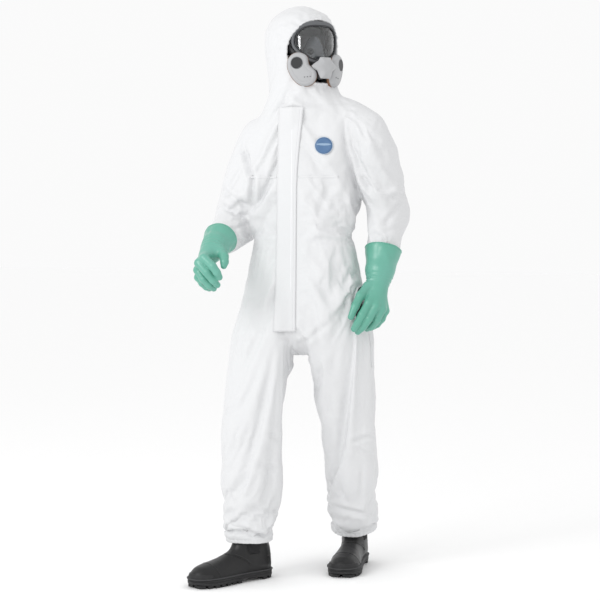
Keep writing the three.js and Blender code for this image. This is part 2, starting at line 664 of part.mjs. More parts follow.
function respirator() {
  const mask = new THREE.Group();
  mask.position.set(0, -11, 0);
  head.add(mask);
  const { lensR, lensThick } = MASK;
  add("visor_lens", "lens", bent(lensOutline(0), lensR, lensR - lensThick), mask);
  add("lens_frame", "frame", bent(lensOutline(9), lensR + 4, lensR - 4, lensOutline(GAP)), mask);
  add("face_seal", "rubber", bent(sealOutline(6), lensR - 4.6, lensR - 12, sealOutline(-13)), mask);

  // the inner mask over nose and mouth, open at the back
  const cup = [[1636, 40, 42], [1652, 38, 40], [1690, 26, 32], [1716, 12, 20]];
  const cupRing = ([z, w, d], inset) => ring(z, w - inset, d - inset, d - inset, at(0, -40, 0), 12, 2);
  const cupShell = loft(cup.map((s) => cupRing(s, 0)), cup.map((s) => cupRing(s, 2)));
  const cupFront = within(cupShell, at(-FAR, -FAR, -FAR), at(FAR, -42, FAR));
  add("nose_cup", "nose", cupFront, mask);
  for (const [name, x] of [["inhalation_valve_right", -1], ["inhalation_valve_left", 1]]) {
    const disc = new THREE.CylinderGeometry(8, 8, 3, 12).rotateX(rad(-22)).rotateZ(rad(x * 42));
    disc.translate(x * 27, -76, 1672);
    add(name, "valve", solid(disc), mask);
  }

  // the front block under the lens: housing, valve disc and cover
  const front = -lensR;
  const housing = new THREE.CylinderGeometry(25, 21, 24, 16, 1).translate(0, front - 9.5, 1606);
  const bore = new THREE.CylinderGeometry(15, 15, 60, 16).translate(0, front - 30, 1606);
  const lens = bent(lensOutline(9.5), lensR + 4.5, lensR - 14);
  const block = solid(housing).subtract(solid(bore)).subtract(lens);
  add("exhalation_housing", "rubber", block, mask);
  const disc = new THREE.CylinderGeometry(13.5, 13.5, 1.2, 16);
  add("exhalation_valve", "valve", solid(disc.translate(0, front - 10, 1606)), mask);
  const cover = new THREE.Shape();
  cover.moveTo(-18, 1582);
  cover.lineTo(18, 1582);
  cover.lineTo(26, 1604);
  cover.lineTo(33, 1622);
  cover.lineTo(22, 1630);
  cover.lineTo(16, 1640);
  cover.lineTo(-16, 1640);
  cover.lineTo(-22, 1630);
  cover.lineTo(-33, 1622);
  cover.lineTo(-26, 1604);
  cover.closePath();
  const plate = new THREE.ExtrudeGeometry(cover, { depth: 16, bevelEnabled: true, bevelSize: 2, bevelThickness: 2,
    bevelSegments: 1 });
  const pocket = new THREE.CylinderGeometry(17, 17, 12, 16).translate(0, front - 24, 1606);
  plate.rotateX(Math.PI / 2).translate(0, front - 24.5, 0);
  add("exhalation_cover", "shell", solid(plate).subtract(solid(pocket)), mask);

  for (const [side, x] of [["right", -1], ["left", 1]]) filter(mask, side, x);
  harness(mask);
}

// The joint axis of a filter points out of the cheek, forwards and sideways.
function filter(mask, side, x) {
  const axis = at(x * Math.sin(rad(FILTER.yaw)), -Math.cos(rad(FILTER.yaw)), 0);
  const seat = at(x * FILTER.out, -FILTER.forward, FILTER.z);
  const place = alignY(axis, at(0, 0, 1)).setPosition(seat);
  const ringOf = (r, t0, t1, sides = 16) => {
    const profile = [[0, t0], [r, t0], [r, t1], [0, t1]].map(([a, b]) => new THREE.Vector2(a, b));
    return geometryFacing(new THREE.LatheGeometry(profile, sides).applyMatrix4(place));
  };
  add(`filter_mount_${side}`, "rubber", ringOf(20, 1, 8), mask);
  const profile = [[0, 0], [0.8, 0], [0.97, 5], [1, 12], [0.98, 20], [0.86, 28], [0.6, 31.5], [0, 32]].map(
    ([r, t]) => new THREE.Vector2((r * FILTER.width) / 2, (t * FILTER.depth) / 32 + 9),
  );
  const shape = new THREE.LatheGeometry(profile, 22).scale(FILTER.length / FILTER.width, 1, 1);
  // the long way of the filter leans forwards and down
  shape.rotateY(rad(-x * FILTER.tilt));
  add(`filter_${side}`, "shell", geometryFacing(shape.applyMatrix4(place)), mask);
}

// Straps from the seal's corners round the back of the head, inside the hood.
function harness(mask) {
  for (const [side, x] of [["right", -1], ["left", 1]]) {
    const buckle = new THREE.BoxGeometry(5, 15, 20).rotateZ(rad(x * 12)).translate(x * 82.5, -6, 1600);
    add(`buckle_${side}`, "valve", solid(buckle), mask);
  }
  const band = new THREE.Shape();
  band.absellipse(0, 36, 84, 100, rad(12), rad(168), false);
  const inner = new THREE.Path();
  const points = band.getPoints(14);
  const shrunk = points.map((p) => new THREE.Vector2(p.x * 0.975, 36 + (p.y - 36) * 0.975)).reverse();
  inner.setFromPoints(shrunk);
  const strap = new THREE.ExtrudeGeometry(new THREE.Shape([...points, ...shrunk]), { depth: 18, bevelEnabled: false });
  add("head_strap", "rubber", solid(strap.translate(0, 0, 1640)), mask);
}

body();
crotch();
closure();
badge();
for (const side of ["right", "left"]) {
  sleeve(side, ARMS[side]);
  leg(side, LEGS[side]);
}
hood();
respirator();

// The origin is under the middle of the whole suit, on the ground.
suit.updateMatrixWorld(true);
const bounds = new THREE.Box3().setFromObject(suit, true);
const middle = bounds.getCenter(at(0, 0, 0));
suit.position.set(-middle.x, -middle.y, -bounds.min.z);

export default suit;
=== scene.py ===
import json
import math

import bmesh
import bpy
import numpy as np
from mathutils import Matrix, Vector, noise
from mathutils.bvhtree import BVHTree


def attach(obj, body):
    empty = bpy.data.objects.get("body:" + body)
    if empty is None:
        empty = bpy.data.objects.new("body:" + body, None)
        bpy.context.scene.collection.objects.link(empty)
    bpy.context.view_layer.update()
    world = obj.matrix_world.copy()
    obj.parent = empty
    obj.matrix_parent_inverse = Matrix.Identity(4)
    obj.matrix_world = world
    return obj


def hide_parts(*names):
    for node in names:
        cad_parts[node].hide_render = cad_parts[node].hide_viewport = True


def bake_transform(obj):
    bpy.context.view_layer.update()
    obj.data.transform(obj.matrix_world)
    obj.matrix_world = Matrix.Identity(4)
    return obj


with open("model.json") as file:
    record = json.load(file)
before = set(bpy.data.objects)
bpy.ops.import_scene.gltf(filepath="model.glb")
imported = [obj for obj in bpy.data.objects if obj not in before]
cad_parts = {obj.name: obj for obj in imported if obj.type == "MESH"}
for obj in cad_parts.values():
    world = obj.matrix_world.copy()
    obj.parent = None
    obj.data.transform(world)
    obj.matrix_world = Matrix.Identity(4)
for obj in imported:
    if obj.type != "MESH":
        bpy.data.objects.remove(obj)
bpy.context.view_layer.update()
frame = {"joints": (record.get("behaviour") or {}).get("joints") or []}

# ---------------------------------------------------------------- frame of the suit
JOINTS = {j["name"]: j for j in frame["joints"]}
NECK = Vector(JOINTS["neck_turn"]["pos_m"])
AXIS = np.array([NECK.x, NECK.y + 0.004, 0.0])  # the trunk's axis, on the ground


def P(x, y, z):
    """Millimetres from the trunk's axis, as a point of the row frame."""
    return np.array([x, y, z], float) / 1000 + AXIS


def joint(name):
    return np.array(JOINTS[name]["pos_m"], float)


facing = sum((np.array(JOINTS[f"filter_twist_{s}"]["axis"]) for s in ("left", "right")), np.zeros(3))
HEAD_TURN = math.atan2(facing[0], -facing[1])
HEAD_TO_ROW = Matrix.Translation(Vector((NECK.x, NECK.y, 0))) @ Matrix.Rotation(HEAD_TURN, 4, "Z")
SIDES = {"right": -1, "left": 1}
TURN = math.radians(20)  # the trunk is turned this far from the camera


def unit(v):
    v = np.asarray(v, float)
    return v / np.linalg.norm(v)


# ---------------------------------------------------------------- shader helpers
def tree_of(mat):
    mat.use_nodes = True
    return mat.node_tree, mat.node_tree.nodes["Principled BSDF"]


def material(name, color, rough=0.5, metal=0.0, coat=0.0, sheen=0.0, transmission=0.0, ior=1.5, specular=0.5,
             layers=(), tint=None, alpha=1.0, rough_var=0.0):
    """Principled material. layers are bumps (kind, scale, metres, detail); tint (colour, scale, amount)."""
    mat = bpy.data.materials.new(name)
    tree, bsdf = tree_of(mat)
    link = tree.links.new
    new = tree.nodes.new
    bsdf.inputs["Base Color"].default_value = (*color, 1)
    bsdf.inputs["Roughness"].default_value = rough
    bsdf.inputs["Metallic"].default_value = metal
    bsdf.inputs["Coat Weight"].default_value = coat
    bsdf.inputs["Coat Roughness"].default_value = 0.12
    bsdf.inputs["Sheen Weight"].default_value = sheen
    bsdf.inputs["Sheen Roughness"].default_value = 0.5
    bsdf.inputs["Transmission Weight"].default_value = transmission
    bsdf.inputs["IOR"].default_value = ior
    bsdf.inputs["Specular IOR Level"].default_value = specular
    bsdf.inputs["Alpha"].default_value = alpha
    coords = new("ShaderNodeTexCoord").outputs["Object"]
    if tint:
        other, scale, amount = tint
        tex = new("ShaderNodeTexNoise")
        tex.inputs["Scale"].default_value = scale
        tex.inputs["Detail"].default_value = 5
        link(coords, tex.inputs["Vector"])
        ramp = new("ShaderNodeMapRange")
        ramp.inputs["From Min"].default_value = 0.35
        ramp.inputs["From Max"].default_value = 0.65
        ramp.inputs["To Max"].default_value = amount
        link(tex.outputs["Fac"], ramp.inputs["Value"])
        mix = new("ShaderNodeMix")
        mix.data_type = "RGBA"
        mix.inputs["A"].default_value = (*color, 1)
        mix.inputs["B"].default_value = (*other, 1)
        link(ramp.outputs["Result"], mix.inputs["Factor"])
        link(mix.outputs["Result"], bsdf.inputs["Base Color"])
    if rough_var:
        tex = new("ShaderNodeTexNoise")
        tex.inputs["Scale"].default_value = 60
        tex.inputs["Detail"].default_value = 4
        link(coords, tex.inputs["Vector"])
        ramp = new("ShaderNodeMapRange")
        ramp.inputs["To Min"].default_value = rough - rough_var
        ramp.inputs["To Max"].default_value = rough + rough_var
        link(tex.outputs["Fac"], ramp.inputs["Value"])
        link(ramp.outputs["Result"], bsdf.inputs["Roughness"])
    last = None
    for kind, scale, distance, detail in layers:
        bump = new("ShaderNodeBump")
        bump.inputs["Strength"].default_value = 1.0
        bump.inputs["Distance"].default_value = distance
        if kind == "cells":
            tex = new("ShaderNodeTexVoronoi")
            tex.feature = "DISTANCE_TO_EDGE"
            out = tex.outputs["Distance"]
        elif kind == "bubbles":
            tex = new("ShaderNodeTexVoronoi")
            out = tex.outputs["Distance"]
        else:
            tex = new("ShaderNodeTexNoise")
            tex.inputs["Detail"].default_value = detail
            if kind == "crease":
                tex.noise_type = "RIDGED_MULTIFRACTAL"
                tex.inputs["Distortion"].default_value = 0.4
            out = tex.outputs["Fac"]
        tex.inputs["Scale"].default_value = scale
        link(coords, tex.inputs["Vector"])
        link(out, bump.inputs["Height"])
        if last:
            link(last, bump.inputs["Normal"])
        last = bump.outputs["Normal"]
    if last:
        link(last, bsdf.inputs["Normal"])
    return mat


CLOTH = material("suit_nonwoven", (0.70, 0.705, 0.715), rough=0.62, specular=0.35, sheen=0.12,
                 layers=[("crease", 16, 0.0016, 3), ("noise", 70, 0.0006, 3), ("noise", 900, 0.00008, 2)])
STITCH = material("suit_stitch", (0.70, 0.70, 0.715), rough=0.7, layers=[("noise", 900, 0.0001, 2)])
ELASTIC = material("suit_elastic", (0.70, 0.70, 0.715), rough=0.8, layers=[("noise", 500, 0.0003, 3)])


# ---------------------------------------------------------------- mesh helpers
def mesh_object(name, verts, faces, mat, smooth=True):
    mesh = bpy.data.meshes.new(name)
    mesh.from_pydata([tuple(v) for v in verts], [], [tuple(f) for f in faces])
    mesh.materials.append(mat)
    if smooth:
        mesh.shade_smooth()
    obj = bpy.data.objects.new(name, mesh)
    bpy.context.scene.collection.objects.link(obj)
    return obj


def coords_of(mesh):
    co = np.empty(len(mesh.vertices) * 3, np.float32)
    mesh.vertices.foreach_get("co", co)
    return co.reshape(-1, 3).astype(float)


def activate(obj):
    bpy.ops.object.select_all(action="DESELECT")
    obj.select_set(True)
    bpy.context.view_layer.objects.active = obj


def apply_all(obj):
    dg = bpy.context.evaluated_depsgraph_get()
    made = bpy.data.meshes.new_from_object(obj.evaluated_get(dg))
    obj.modifiers.clear()
    obj.data = made
    return obj


def subdivided(obj, levels=1):
    mod = obj.modifiers.new("sub", "SUBSURF")
    mod.levels = mod.render_levels = levels
    return apply_all(obj)


# ---------------------------------------------------------------- implicit surfaces
def smin(a, b, k):
    h = np.clip(0.5 + 0.5 * (b - a) / k, 0, 1)
    return b * (1 - h) + a * h - k * h * (1 - h)


def smax(a, b, k):
    return -smin(-a, -b, k)


def limb(Q, points, radii, flat=None, k=0.02):
    """A tapered limb through points; flat is (direction, factor) that widens it along a direction."""
    best = None
    for a, b, ra, rb in zip(points, points[1:], radii, radii[1:]):
        d = np.asarray(b) - a
        length2 = d @ d
        rel = Q - a
        t = np.clip(rel @ d / length2, 0, 1)
        off = rel - t[..., None] * d
        if flat:
            n, f = flat
            along = off @ n
            off = off + (along * (1 / f - 1))[..., None] * n
        dist = np.sqrt((off * off).sum(-1)) - (ra + (rb - ra) * t)
        best = dist if best is None else smin(best, dist, k)
    return best


def column(Q, stations, power=2.3, k=0.02):
    """A body of superellipse rings: stations are (z, half width, front, back, centre y), in metres."""
    s = np.array(stations)
    z = Q[..., 2]

    def lookup(i):
        return np.interp(z, s[:, 0], s[:, i])

    w, front, back, c = (lookup(i) for i in range(1, 5))
    y = Q[..., 1] - c
    d = np.where(y < 0, front, back)
    v = ((np.abs(Q[..., 0]) / w) ** power + (np.abs(y) / d) ** power) ** (1 / power)
    dist = (v - 1) * np.minimum(w, d)
    dist = smax(dist, z - s[-1, 0], k)
    return smax(dist, s[0, 0] - z, k)


def net(values, origin, h):
    """Quads on the zero surface of a grid, by surface nets."""
    inside = values < 0
    n = np.array(values.shape) - 1
    corner = [(i, j, k) for i in (0, 1) for j in (0, 1) for k in (0, 1)]

    def cut(c):
        return tuple(slice(c[a], c[a] + n[a]) for a in range(3))

    total = np.zeros((*n, 3))
    count = np.zeros(n)
    for c in corner:
        for a in range(3):
            if c[a]:
                continue
            e = list(c)
            e[a] = 1
            f0, f1 = values[cut(c)], values[cut(e)]
            cross = (f0 < 0) != (f1 < 0)
            t = np.where(cross, f0 / np.where(cross, f0 - f1, 1), 0)
            for b in range(3):
                total[..., b] += np.where(cross, c[b] + (t if b == a else 0), 0)
            count += cross
    used = count > 0
    index = -np.ones(n, int)
    index[used] = np.arange(used.sum())
    cell = np.argwhere(used)
    verts = (cell + total[used] / count[used][:, None]) * h + origin
    faces = []
    for a in range(3):
        b, c = (a + 1) % 3, (a + 2) % 3
        lo = [slice(1, -1)] * 3
        hi = [slice(1, -1)] * 3
        lo[a], hi[a] = slice(0, -1), slice(1, None)
        s0, s1 = inside[tuple(lo)], inside[tuple(hi)]
        where = np.argwhere(s0 != s1)
        flip = s0[tuple(where.T)]
        at = where.copy()
        at[:, b] += 1
        at[:, c] += 1
        quad = []
        for db, dc in ((0, 0), (-1, 0), (-1, -1), (0, -1)):
            q = at.copy()
            q[:, b] += db
            q[:, c] += dc
            quad.append(index[tuple(q.T)])
        quad = np.stack(quad, 1)
        quad[~flip] = quad[~flip][:, ::-1]
        faces.append(quad)
    return verts, np.concatenate(faces)


def implicit(function, low, high, h):
    axes = [np.arange(low[a], high[a] + h, h) for a in range(3)]
    grid = np.stack(np.meshgrid(*axes, indexing="ij"), -1)
    return net(function(grid), np.array(low, float), h)


def relax(verts, faces, rounds, keep=None, share=0.5):
    """Laplacian smoothing over the quads' edges; vertices in keep stay."""
    edges = np.unique(np.sort(np.concatenate([faces[:, [i, (i + 1) % faces.shape[1]]]
                                              for i in range(faces.shape[1])]), 1), axis=0)
    degree = np.bincount(edges.ravel(), minlength=len(verts))[:, None]
    for _ in range(rounds):
        total = np.zeros_like(verts)
        np.add.at(total, edges[:, 0], verts[edges[:, 1]])
        np.add.at(total, edges[:, 1], verts[edges[:, 0]])
        moved = verts + (total / np.maximum(degree, 1) - verts) * share
        verts = moved if keep is None else np.where(keep[:, None], verts, moved)
    return verts


def vertex_normals(V, F):
    n = np.cross(V[F[:, 2]] - V[F[:, 0]], V[F[:, 3]] - V[F[:, 1]])
    out = np.zeros_like(V)
    for i in range(4):
        np.add.at(out, F[:, i], n)
    return out / np.maximum(np.linalg.norm(out, axis=1), 1e-12)[:, None]


def rim_loops(F):
    """Ordered vertex loops round the open edges."""
    directed = {(int(f[i]), int(f[(i + 1) % 4])) for f in F for i in range(4)}
    after = {a: b for a, b in directed if (b, a) not in directed}
    loops = []
    while after:
        start, here = next(iter(after.items()))
        del after[start]
        loop = [start]
        while here != start and here in after:
            loop.append(here)
            here = after.pop(here)
        loops.append(loop)
    return sorted(loops, key=len, reverse=True)


# ---------------------------------------------------------------- the coverall's shape
def front_y(z):
    """The closure's straight line, from the suit's axis, in metres."""
    return -0.124 + (z - 0.8) * (0.016 / 0.69)


TRUNK = [  # height, half width, depth: metres
    (0.768, 0.150, 0.116), (0.815, 0.190, 0.127), (0.90, 0.194, 0.129), (1.00, 0.178, 0.124),
    (1.067, 0.160, 0.114), (1.14, 0.166, 0.120), (1.25, 0.176, 0.127), (1.34, 0.176, 0.127),
    (1.42, 0.168, 0.120), (1.47, 0.146, 0.113), (1.50, 0.122, 0.108), (1.535, 0.104, 0.103),
]
HOOD = [  # height, half width, to the front, to the back, centre towards the back
    (1.49, 0.096, 0.096, 0.098, 0.0), (1.53, 0.096, 0.102, 0.103, 0.004), (1.57, 0.097, 0.110, 0.106, 0.008),
    (1.63, 0.102, 0.117, 0.117, 0.011), (1.69, 0.106, 0.121, 0.127, 0.014),
    (1.74, 0.104, 0.118, 0.127, 0.016),
    (1.775, 0.090, 0.106, 0.110, 0.018), (1.797, 0.068, 0.082, 0.086, 0.020),
    (1.814, 0.034, 0.044, 0.045, 0.020),
]


# the sleeve's axis from the yoke to above the elbow (mm) with its radius (m), then the forearm's radii
UPPER_ARM = {
    "right": [(-158, 0, 1428, 0.050), (-172, 0, 1395, 0.052), (-188, -5, 1350, 0.055),
    (-204, -12, 1300, 0.058),
              (-213, -18, 1240, 0.061), (-220, -24, 1190, 0.065)],
    "left": [(110, 0, 1462, 0.062), (152, 0, 1459, 0.065), (205, 0, 1429, 0.066), (219, 5, 1395, 0.069),
             (232, 30, 1355, 0.070), (245, 65, 1275, 0.069)],
}
FOREARM = {"right": [0.066, 0.055, 0.042, 0.034], "left": [0.062, 0.056, 0.043, 0.034]}


CROTCH_Z = 0.800


def arm_line(side):
    """The sleeve's axis, from the yoke to the wrist, and its radii."""
    elbow, wrist = joint(f"elbow_{side}"), joint(f"wrist_{side}")
    lower = [elbow, elbow * 0.6 + wrist * 0.4, elbow * 0.4 + wrist * 0.6, elbow * 0.12 + wrist * 0.88]
    points = [P(*point[:3]) for point in UPPER_ARM[side]] + lower
    return points, np.array([point[3] for point in UPPER_ARM[side]] + FOREARM[side])


def coverall(Q, slack=0.0):
    """Signed distance of the coverall's outer shape, in the row frame. slack shrinks it for the body."""
    L = Q - AXIS
    trunk = column(L, [(z, w - slack * 0.9, d - slack, d - slack, front_y(z) + d) for z, w, d in TRUNK])
    legs = None
    for side, s in SIDES.items():
        hip, knee, ankle = (joint(f"{j}_{side}") for j in ("hip", "knee", "ankle"))
        down = unit(ankle - knee)
        lowest = ankle - down * 0.012
        leg = limb(
            Q,
            [hip + [0, 0, -0.03], hip * 0.64 + knee * 0.36 + [s * 0.006, 0, 0], hip * 0.28 + knee * 0.72,
            knee,
             knee * 0.66 + ankle * 0.34, knee * 0.25 + ankle * 0.75, lowest],
            np.array([0.104, 0.110, 0.100, 0.090, 0.091, 0.086, 0.070]) - slack,
        )
        parting = np.clip((CROTCH_Z - L[..., 2]) * 0.33, -0.05, 0.022) + slack * 0.5
        leg = smax(leg, parting - s * L[..., 0], 0.012)
        legs = leg if legs is None else smin(legs, leg, 0.005)
    out = smin(trunk, legs, 0.03)
    arms = None
    for side in SIDES:
        points, radii = arm_line(side)
        arm = limb(Q, points, radii - slack * 0.8)
        arms = arm if arms is None else np.minimum(arms, arm)
    out = smin(out, arms, 0.024)
    c, n = math.cos(-HEAD_TURN), math.sin(-HEAD_TURN)
    H = L - [0, -0.004, 0]
    H = np.stack([H[..., 0] * c - H[..., 1] * n, H[..., 0] * n + H[..., 1] * c, H[..., 2]], -1)
    hood = column(H, [(z, w - slack, f - slack, b - slack, y) for z, w, f, b, y in HOOD], 2.2, 0.012)
    return smin(out, hood, 0.03)


LOW = AXIS + [-0.34, -0.42, 0.06]
HIGH = AXIS + [0.36, 0.36, 1.87]
CELL = 0.0095
verts, faces = implicit(coverall, LOW, HIGH, CELL)
verts = relax(verts, faces, 4)


# ---------------------------------------------------------------- openings
def head_local(points):
    inverse = np.array(HEAD_TO_ROW.inverted())
    return points @ inverse[:3, :3].T + inverse[:3, 3]


def face_value(points):
    """Below 1 inside the face opening."""
    H = head_local(points)
    across = H[:, 0] / 0.093
    up = (H[:, 2] - 1.666) / 0.100
    return np.where(H[:, 1] < 0.0, across**2 + up**2, 9.0)


def end_value(points):
    """Below 0 past the end of a leg or a sleeve."""
    value = np.full(len(points), 9.0)
    for side in SIDES:
        for a, b, keep, width in (("knee", "ankle", -0.026, 0.11), ("elbow", "wrist", -0.04, 0.058)):
            ja, jb = joint(f"{a}_{side}"), joint(f"{b}_{side}")
            d = unit(jb - ja)
            rel = points - jb
            off_axis = np.linalg.norm(rel - np.outer(rel @ d, d), axis=1)
            near = (off_axis < width) & (rel @ d > -0.12)
            value = np.where(near, np.minimum(value, keep - rel @ d), value)
    return value


def trimmed(verts, faces, value, level):
    """The faces whose value is above level, and the vertices they use."""
    good = (value[faces] > level).all(1)
    faces = faces[good]
    used = np.unique(faces)
    table = -np.ones(len(verts), int)
    table[used] = np.arange(len(used))
    return verts[used], table[faces]


verts, faces = trimmed(verts, faces, face_value(verts), 1.0)
verts, faces = trimmed(verts, faces, end_value(verts), 0.0)


def rim_mask(count, faces):
    e = np.sort(np.concatenate([faces[:, [i, (i + 1) % 4]] for i in range(4)]), 1)
    u, c = np.unique(e, axis=0, return_counts=True)
    mask = np.zeros(count, bool)
    mask[u[c == 1].ravel()] = True
    return mask, u[c == 1]


def smooth_rims(verts, faces, rounds=12):
    mask, edges = rim_mask(len(verts), faces)
    for _ in range(rounds):
        total = np.zeros_like(verts)
        n = np.zeros(len(verts))
        for a, b in ((0, 1), (1, 0)):
            np.add.at(total, edges[:, a], verts[edges[:, b]])
            np.add.at(n, edges[:, a], 1)
        verts = np.where(mask[:, None], 0.5 * verts + 0.5 * total / np.maximum(n, 1)[:, None], verts)
    return verts, mask


verts, rim = smooth_rims(verts, faces)
print("coverall grid", len(verts), len(faces))

# ---------------------------------------------------------------- cloth
from_axis = verts - AXIS
pins = np.zeros(len(verts))
distance_to_rim = np.full(len(verts), 9.0)
tree_points = verts[rim]
for chunk in range(0, len(verts), 4000):
    d = np.linalg.norm(verts[chunk:chunk + 4000, None] - tree_points[None], axis=2).min(1)
    distance_to_rim[chunk:chunk + 4000] = d
pins = np.maximum(pins, np.clip(1.3 - distance_to_rim / 0.02, 0, 1))
closure = (np.abs(from_axis[:, 0]) < 0.03) & (from_axis[:, 1] <
    -0.05) & (from_axis[:, 2] > 0.80) & (from_axis[:, 2] < 1.49)
pins[closure] = 1
waist = np.exp(-(((from_axis[:, 2] - 1.067) / 0.012) ** 2)) * (np.abs(from_axis[:, 0]) < 0.18)
hood_top = (from_axis[:, 2] > 1.60) * 0.25
pins = np.clip(np.maximum.reduce([pins, waist * 0.8, hood_top]), 0, 1)

suit = mesh_object("suit_sim", verts, faces, CLOTH)
body_verts, body_faces = implicit(lambda Q: coverall(Q, 0.020), LOW, HIGH, 0.016)
body = mesh_object("body_sim", relax(body_verts, body_faces, 2), body_faces, CLOTH)
body.modifiers.new("hit", "COLLISION")
body.collision.thickness_outer = 0.004
body.collision.cloth_friction = 8
group = suit.vertex_groups.new(name="pin")
for value in np.unique(np.round(pins, 2)):
    if value > 0:
        group.add([int(i) for i in np.where(np.round(pins, 2) == value)[0]], float(value), "REPLACE")
cloth = suit.modifiers.new("cloth", "CLOTH")
cs = cloth.settings
cs.quality = 5
cs.mass = 0.15
cs.air_damping = 2.5
cs.tension_stiffness = 25
cs.compression_stiffness = 25
cs.shear_stiffness = 12
cs.bending_stiffness = 1.2
cs.tension_damping = cs.compression_damping = 12
cs.bending_damping = 1
cs.vertex_group_mass = "pin"
cs.pin_stiffness = 1
cs.shrink_min = -0.045
cloth.collision_settings.distance_min = 0.004
cloth.collision_settings.collision_quality = 2
cloth.collision_settings.use_self_collision = False
last_frame = 26
cloth.point_cache.frame_start = 1
cloth.point_cache.frame_end = last_frame
scene = bpy.context.scene
for f in range(1, last_frame + 1):
    scene.frame_set(f)
apply_all(suit)
scene.frame_set(1)
bpy.data.objects.remove(body)

subdivided(suit, 1)
print("coverall final", len(suit.data.vertices))

# ---------------------------------------------------------------- pieces of the coverall
verts = coords_of(suit.data)
faces = np.array([p.vertices[:] for p in suit.data.polygons])
normals = np.empty(len(verts) * 3, np.float32)
suit.data.vertices.foreach_get("normal", normals)
normals = normals.reshape(-1, 3).astype(float)
bpy.data.objects.remove(suit)
from_rim = np.full(len(verts), 9.0)
face_rim = [verts[loop] for loop in rim_loops(faces) if verts[loop][:, 2].mean() > 1.5][0]
H = head_local(verts)
around = np.arctan2(H[:, 2] - 1.666, H[:, 0])
near_face = np.where((verts[:, 2] > 1.45) & (H[:, 1] < 0.03))[0]
from_rim[near_face] = np.linalg.norm(verts[near_face, None] - face_rim[None], axis=2).min(1)
pleats = np.sin(around * 34 + 2.2 * np.sin(around * 5)) * 0.6 + np.sin(around * 21 + 1.7) * 0.4
gathers = 0.0024 * pleats * np.exp(-from_rim / 0.026)
local = verts - AXIS
round_waist = np.arctan2(local[:, 1] + 0.01, local[:, 0])
behind = np.clip(0.5 + local[:, 1] / 0.06, 0, 1) * (np.abs(local[:, 0]) < 0.19)
waist_pleats = np.sin(round_waist * 46 + 1.5 * np.sin(round_waist * 7))
gathers = gathers + 0.0020 * waist_pleats * behind * np.exp(-(((local[:, 2] - 1.067) / 0.022) ** 2))
# valleys seen from the front, 20 degrees off the trunk: depth, half width, points across and up (mm)
CREASES = [
    (13, 8, [(-193, 1375), (-165, 1274), (-165, 1191)]),  # armhole, right
    (7, 8, [(-266, 1242), (-203, 1194), (-162, 1182)]),  # sleeve, right
    (5, 7, [(-273, 1194), (-225, 1163), (-168, 1147)]),  # sleeve, right
    (5, 6, [(-232, 1106), (-168, 1137)]),  # sleeve, right
    (10, 8, [(181, 1280), (209, 1236)]),  # armhole, left
    (4, 10, [(6, 1080), (82, 1077), (171, 1068)]),  # waist, left
    (3, 10, [(-159, 1052), (-86, 1064)]),  # waist, right
    (3, 9, [(168, 1068), (92, 1137)]),  # chest, left
    (3, 10, [(25, 1102), (82, 1251)]),  # chest, left
    (2.5, 9, [(124, 1251), (130, 1125)]),  # chest, left
    (5, 7, [(330, 1226), (260, 1207)]),  # sleeve, left
    (5, 8, [(314, 1204), (250, 1121)]),  # sleeve, left
    (4, 7, [(244, 1102), (317, 1121)]),  # sleeve, left
    (4, 9, [(-79, 348), (-146, 377)]),  # knee, right
    (4, 9, [(-105, 475), (-76, 440)]),  # knee, right
    (3, 8, [(-270, 529), (-209, 551)]),  # knee, right
    (5, 8, [(-263, 193), (-203, 237)]),  # shin, right
    (5, 7, [(-127, 224), (-79, 218)]),  # shin, right
    (5, 7, [(-254, 158), (-184, 167), (-108, 139)]),  # hem, right
    (5, 7, [(228, 453), (152, 434)]),  # knee, left
    (4, 8, [(231, 373), (162, 411)]),  # knee, left
    (6, 8, [(76, 212), (146, 199), (215, 183)]),  # shin, left
    (4, 8, [(114, 278), (143, 218)]),  # shin, left
    (4, 7, [(222, 243), (196, 189)]),  # shin, left
    (4, 8, [(-102, 792), (-22, 757)]),  # crotch, right
    (4, 9, [(-13, 751), (82, 817)]),  # crotch, left
]


